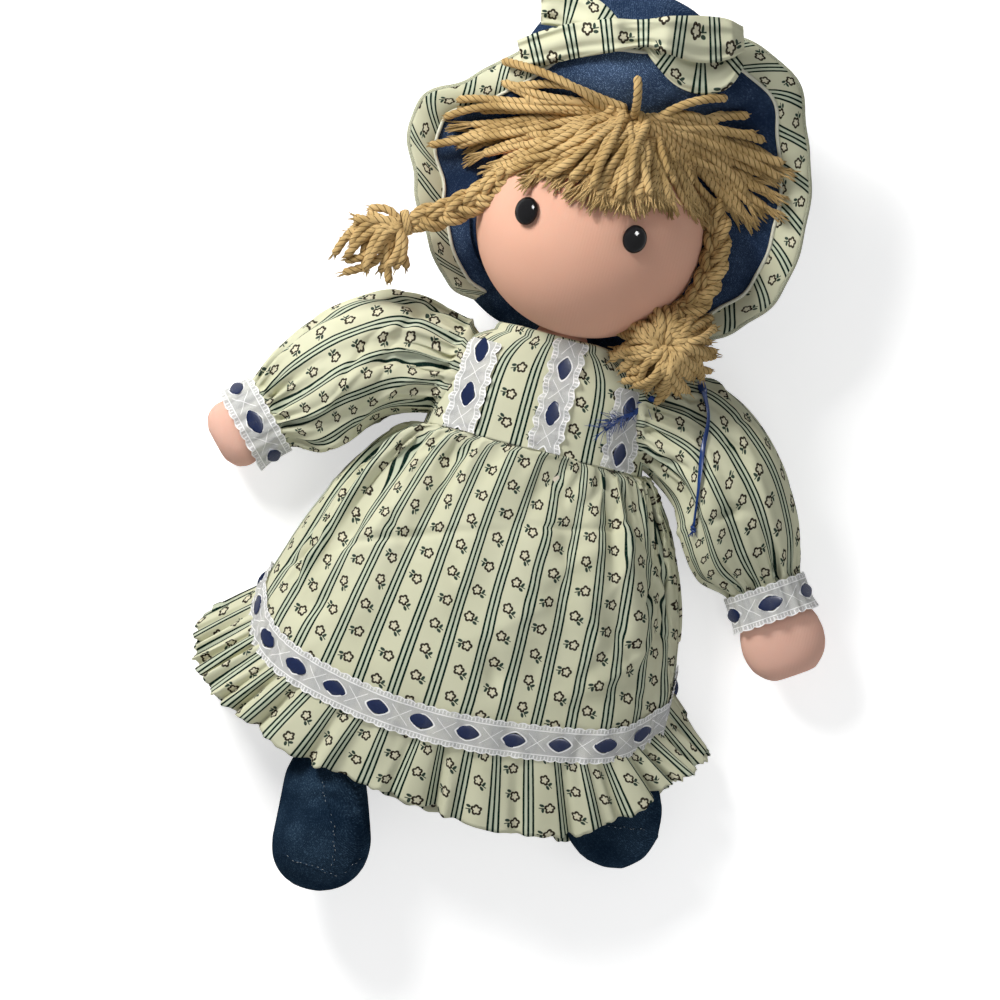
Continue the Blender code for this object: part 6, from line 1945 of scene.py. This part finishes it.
# Blue ribbon
def ribbon_tube(path, wide, thick, twist):
    """A flat ribbon along a path, as a mesh tube, narrower where it twists."""
    path = np.asarray(path, float)
    lengths = np.r_[0, np.cumsum(np.linalg.norm(np.diff(path, axis=0), axis=1))]
    share = lengths / lengths[-1]
    tangent = np.gradient(path, axis=0)
    tangent /= np.linalg.norm(tangent, axis=1, keepdims=True)
    side = np.cross(tangent, (0, 0, 1.0))
    side /= np.linalg.norm(side, axis=1, keepdims=True)
    up = np.cross(side, tangent)
    angle = twist(share)
    a = side * np.cos(angle)[:, None] + up * np.sin(angle)[:, None]
    b = -side * np.sin(angle)[:, None] + up * np.cos(angle)[:, None]
    turn = 2 * math.pi * np.arange(16) / 16
    half = np.interp(share, *wide)
    rings = (path[:, None, :] + a[:, None, :] * (np.cos(turn)[None, :] * half[:, None])[..., None]
             + b[:, None, :] * (np.sin(turn) * thick)[None, :, None])
    first, last = path[:1, None, :].repeat(16, axis=1), path[-1:, None, :].repeat(16, axis=1)
    rings = np.concatenate([first * 0.999 + rings[:1] * 0.001, rings, last * 0.999 + rings[-1:] * 0.001])
    return rings, lengths[-1]


def make_ribbon_ends(over_sleeve, over_bodice):
    """The blue ribbon's long end with its knot, and its frayed end, on the CAD's routes."""
    route = even_path(smooth_path(LONG_END_ROUTE, 16), 0.0008)
    heights = np.array([drop(over_sleeve, x, y, 0.05) for x, y in route]) + 0.0016
    for _ in range(30):
        heights[1:-1] = np.maximum(heights[1:-1], (heights[:-2] + heights[2:]) / 2)
    path = np.column_stack([route, heights])
    points, length = ribbon_tube(path, ((0, 0.35, 0.55, 1), (0.0020, 0.0018, 0.0012, 0.0008)), 0.0005,
                                 lambda s: 1.2 * np.sin(5.5 * s) * (s > 0.15))
    coords = np.zeros((len(points), 17, 2))
    made = cloth_grid("blue_ribbon_long", points, coords, BLUE, wall=0.0, inside=path[len(path) // 2])
    finish_piece(made, "arm_left", "blue_satin", "ribbon_long_end")

    end, along = path[-1], path[-1] - path[-5]
    along /= np.linalg.norm(along)
    over = np.cross(along, (0, 0, 1.0))
    knot = Bundle()
    t = np.linspace(0, 2 * math.pi * 1.6, 50)
    loops = along * (0.0018 + 0.0012 * np.sin(t * 0.7))[:, None] + over * (0.0011 * np.cos(t))[:, None]
    knot.tube(end + loops + UP * (0.0006 * np.sin(t) + 0.0002)[:, None], 0.0006, sides=8)
    draw = random.Random(5)
    for _ in range(9):
        aim = along + over * draw.uniform(-0.7, 0.7) + np.array((0, 0, draw.uniform(-0.1, 0.4)))
        thread = end + along * 0.002 + aim * np.linspace(0, 0.0042, 8)[:, None]
        knot.tube(thread, 0.00016, sides=5, taper=0.002)
    tip = knot.make("blue_ribbon_knot", BLUE)
    finish_piece(tip, "arm_left", "blue_satin", "ribbon_knot")

    route = even_path(smooth_path(FRAYED_END_ROUTE, 16), 0.0006)
    heights = np.array([drop(over_bodice, x, y, 0.05) for x, y in route]) + 0.0014
    for _ in range(30):
        heights[1:-1] = np.maximum(heights[1:-1], (heights[:-2] + heights[2:]) / 2)
    path = np.column_stack([route, heights])
    points, length = ribbon_tube(path, ((0, 0.5, 1), (0.0015, 0.0013, 0.0009)), 0.0004,
                                 lambda s: 0.5 * np.sin(7 * s))
    coords = np.zeros((len(points), 17, 2))
    made = cloth_grid("blue_ribbon_frayed", points, coords, BLUE, wall=0.0, inside=path[len(path) // 2])
    finish_piece(made, "torso", "blue_satin", "ribbon_frayed_end")
    threads = Bundle()
    along = path[-1] - path[-6]
    along /= np.linalg.norm(along)
    over = np.cross(along, (0, 0, 1.0))
    for k in range(90):
        at = path[int(len(path) * draw.uniform(0.15, 0.99))]
        swing = draw.uniform(-1.2, 1.2)
        aim = along * math.cos(swing) + over * math.sin(swing)
        marks = np.linspace(0, 1, 14)[:, None]
        curl = np.cross(aim, (0, 0, 1.0)) * draw.uniform(-0.003, 0.003)
        thread = at + aim * marks * draw.uniform(0.004, 0.011) + curl * marks ** 2
        thread = thread + UP * (0.0016 * np.sin(math.pi * marks) + 0.0003)
        threads.tube(thread, 0.00014, sides=5, taper=0.002)
    loose = threads.make("blue_ribbon_threads", BLUE)
    finish_piece(loose, "torso", "blue_satin")


# Build
make_camera()
make_studio()
make_stuffed()
bodice = make_bodice()
sleeves = [make_sleeve(side) for side in ("left", "right")]
bodice_ground = tree_of(bodice)
make_strips(bodice_ground)
make_ribbon_ends(tree_of(*sleeves, bodice), bodice_ground)
make_skirt()
face = make_head()
make_eyes()
crown = make_crown()
brim, border = make_brim()
ground = tree_of(face, crown, brim, border)
make_bow(ground)
make_fringe(ground)
for side in ("left", "right"):
    make_pigtail(side)
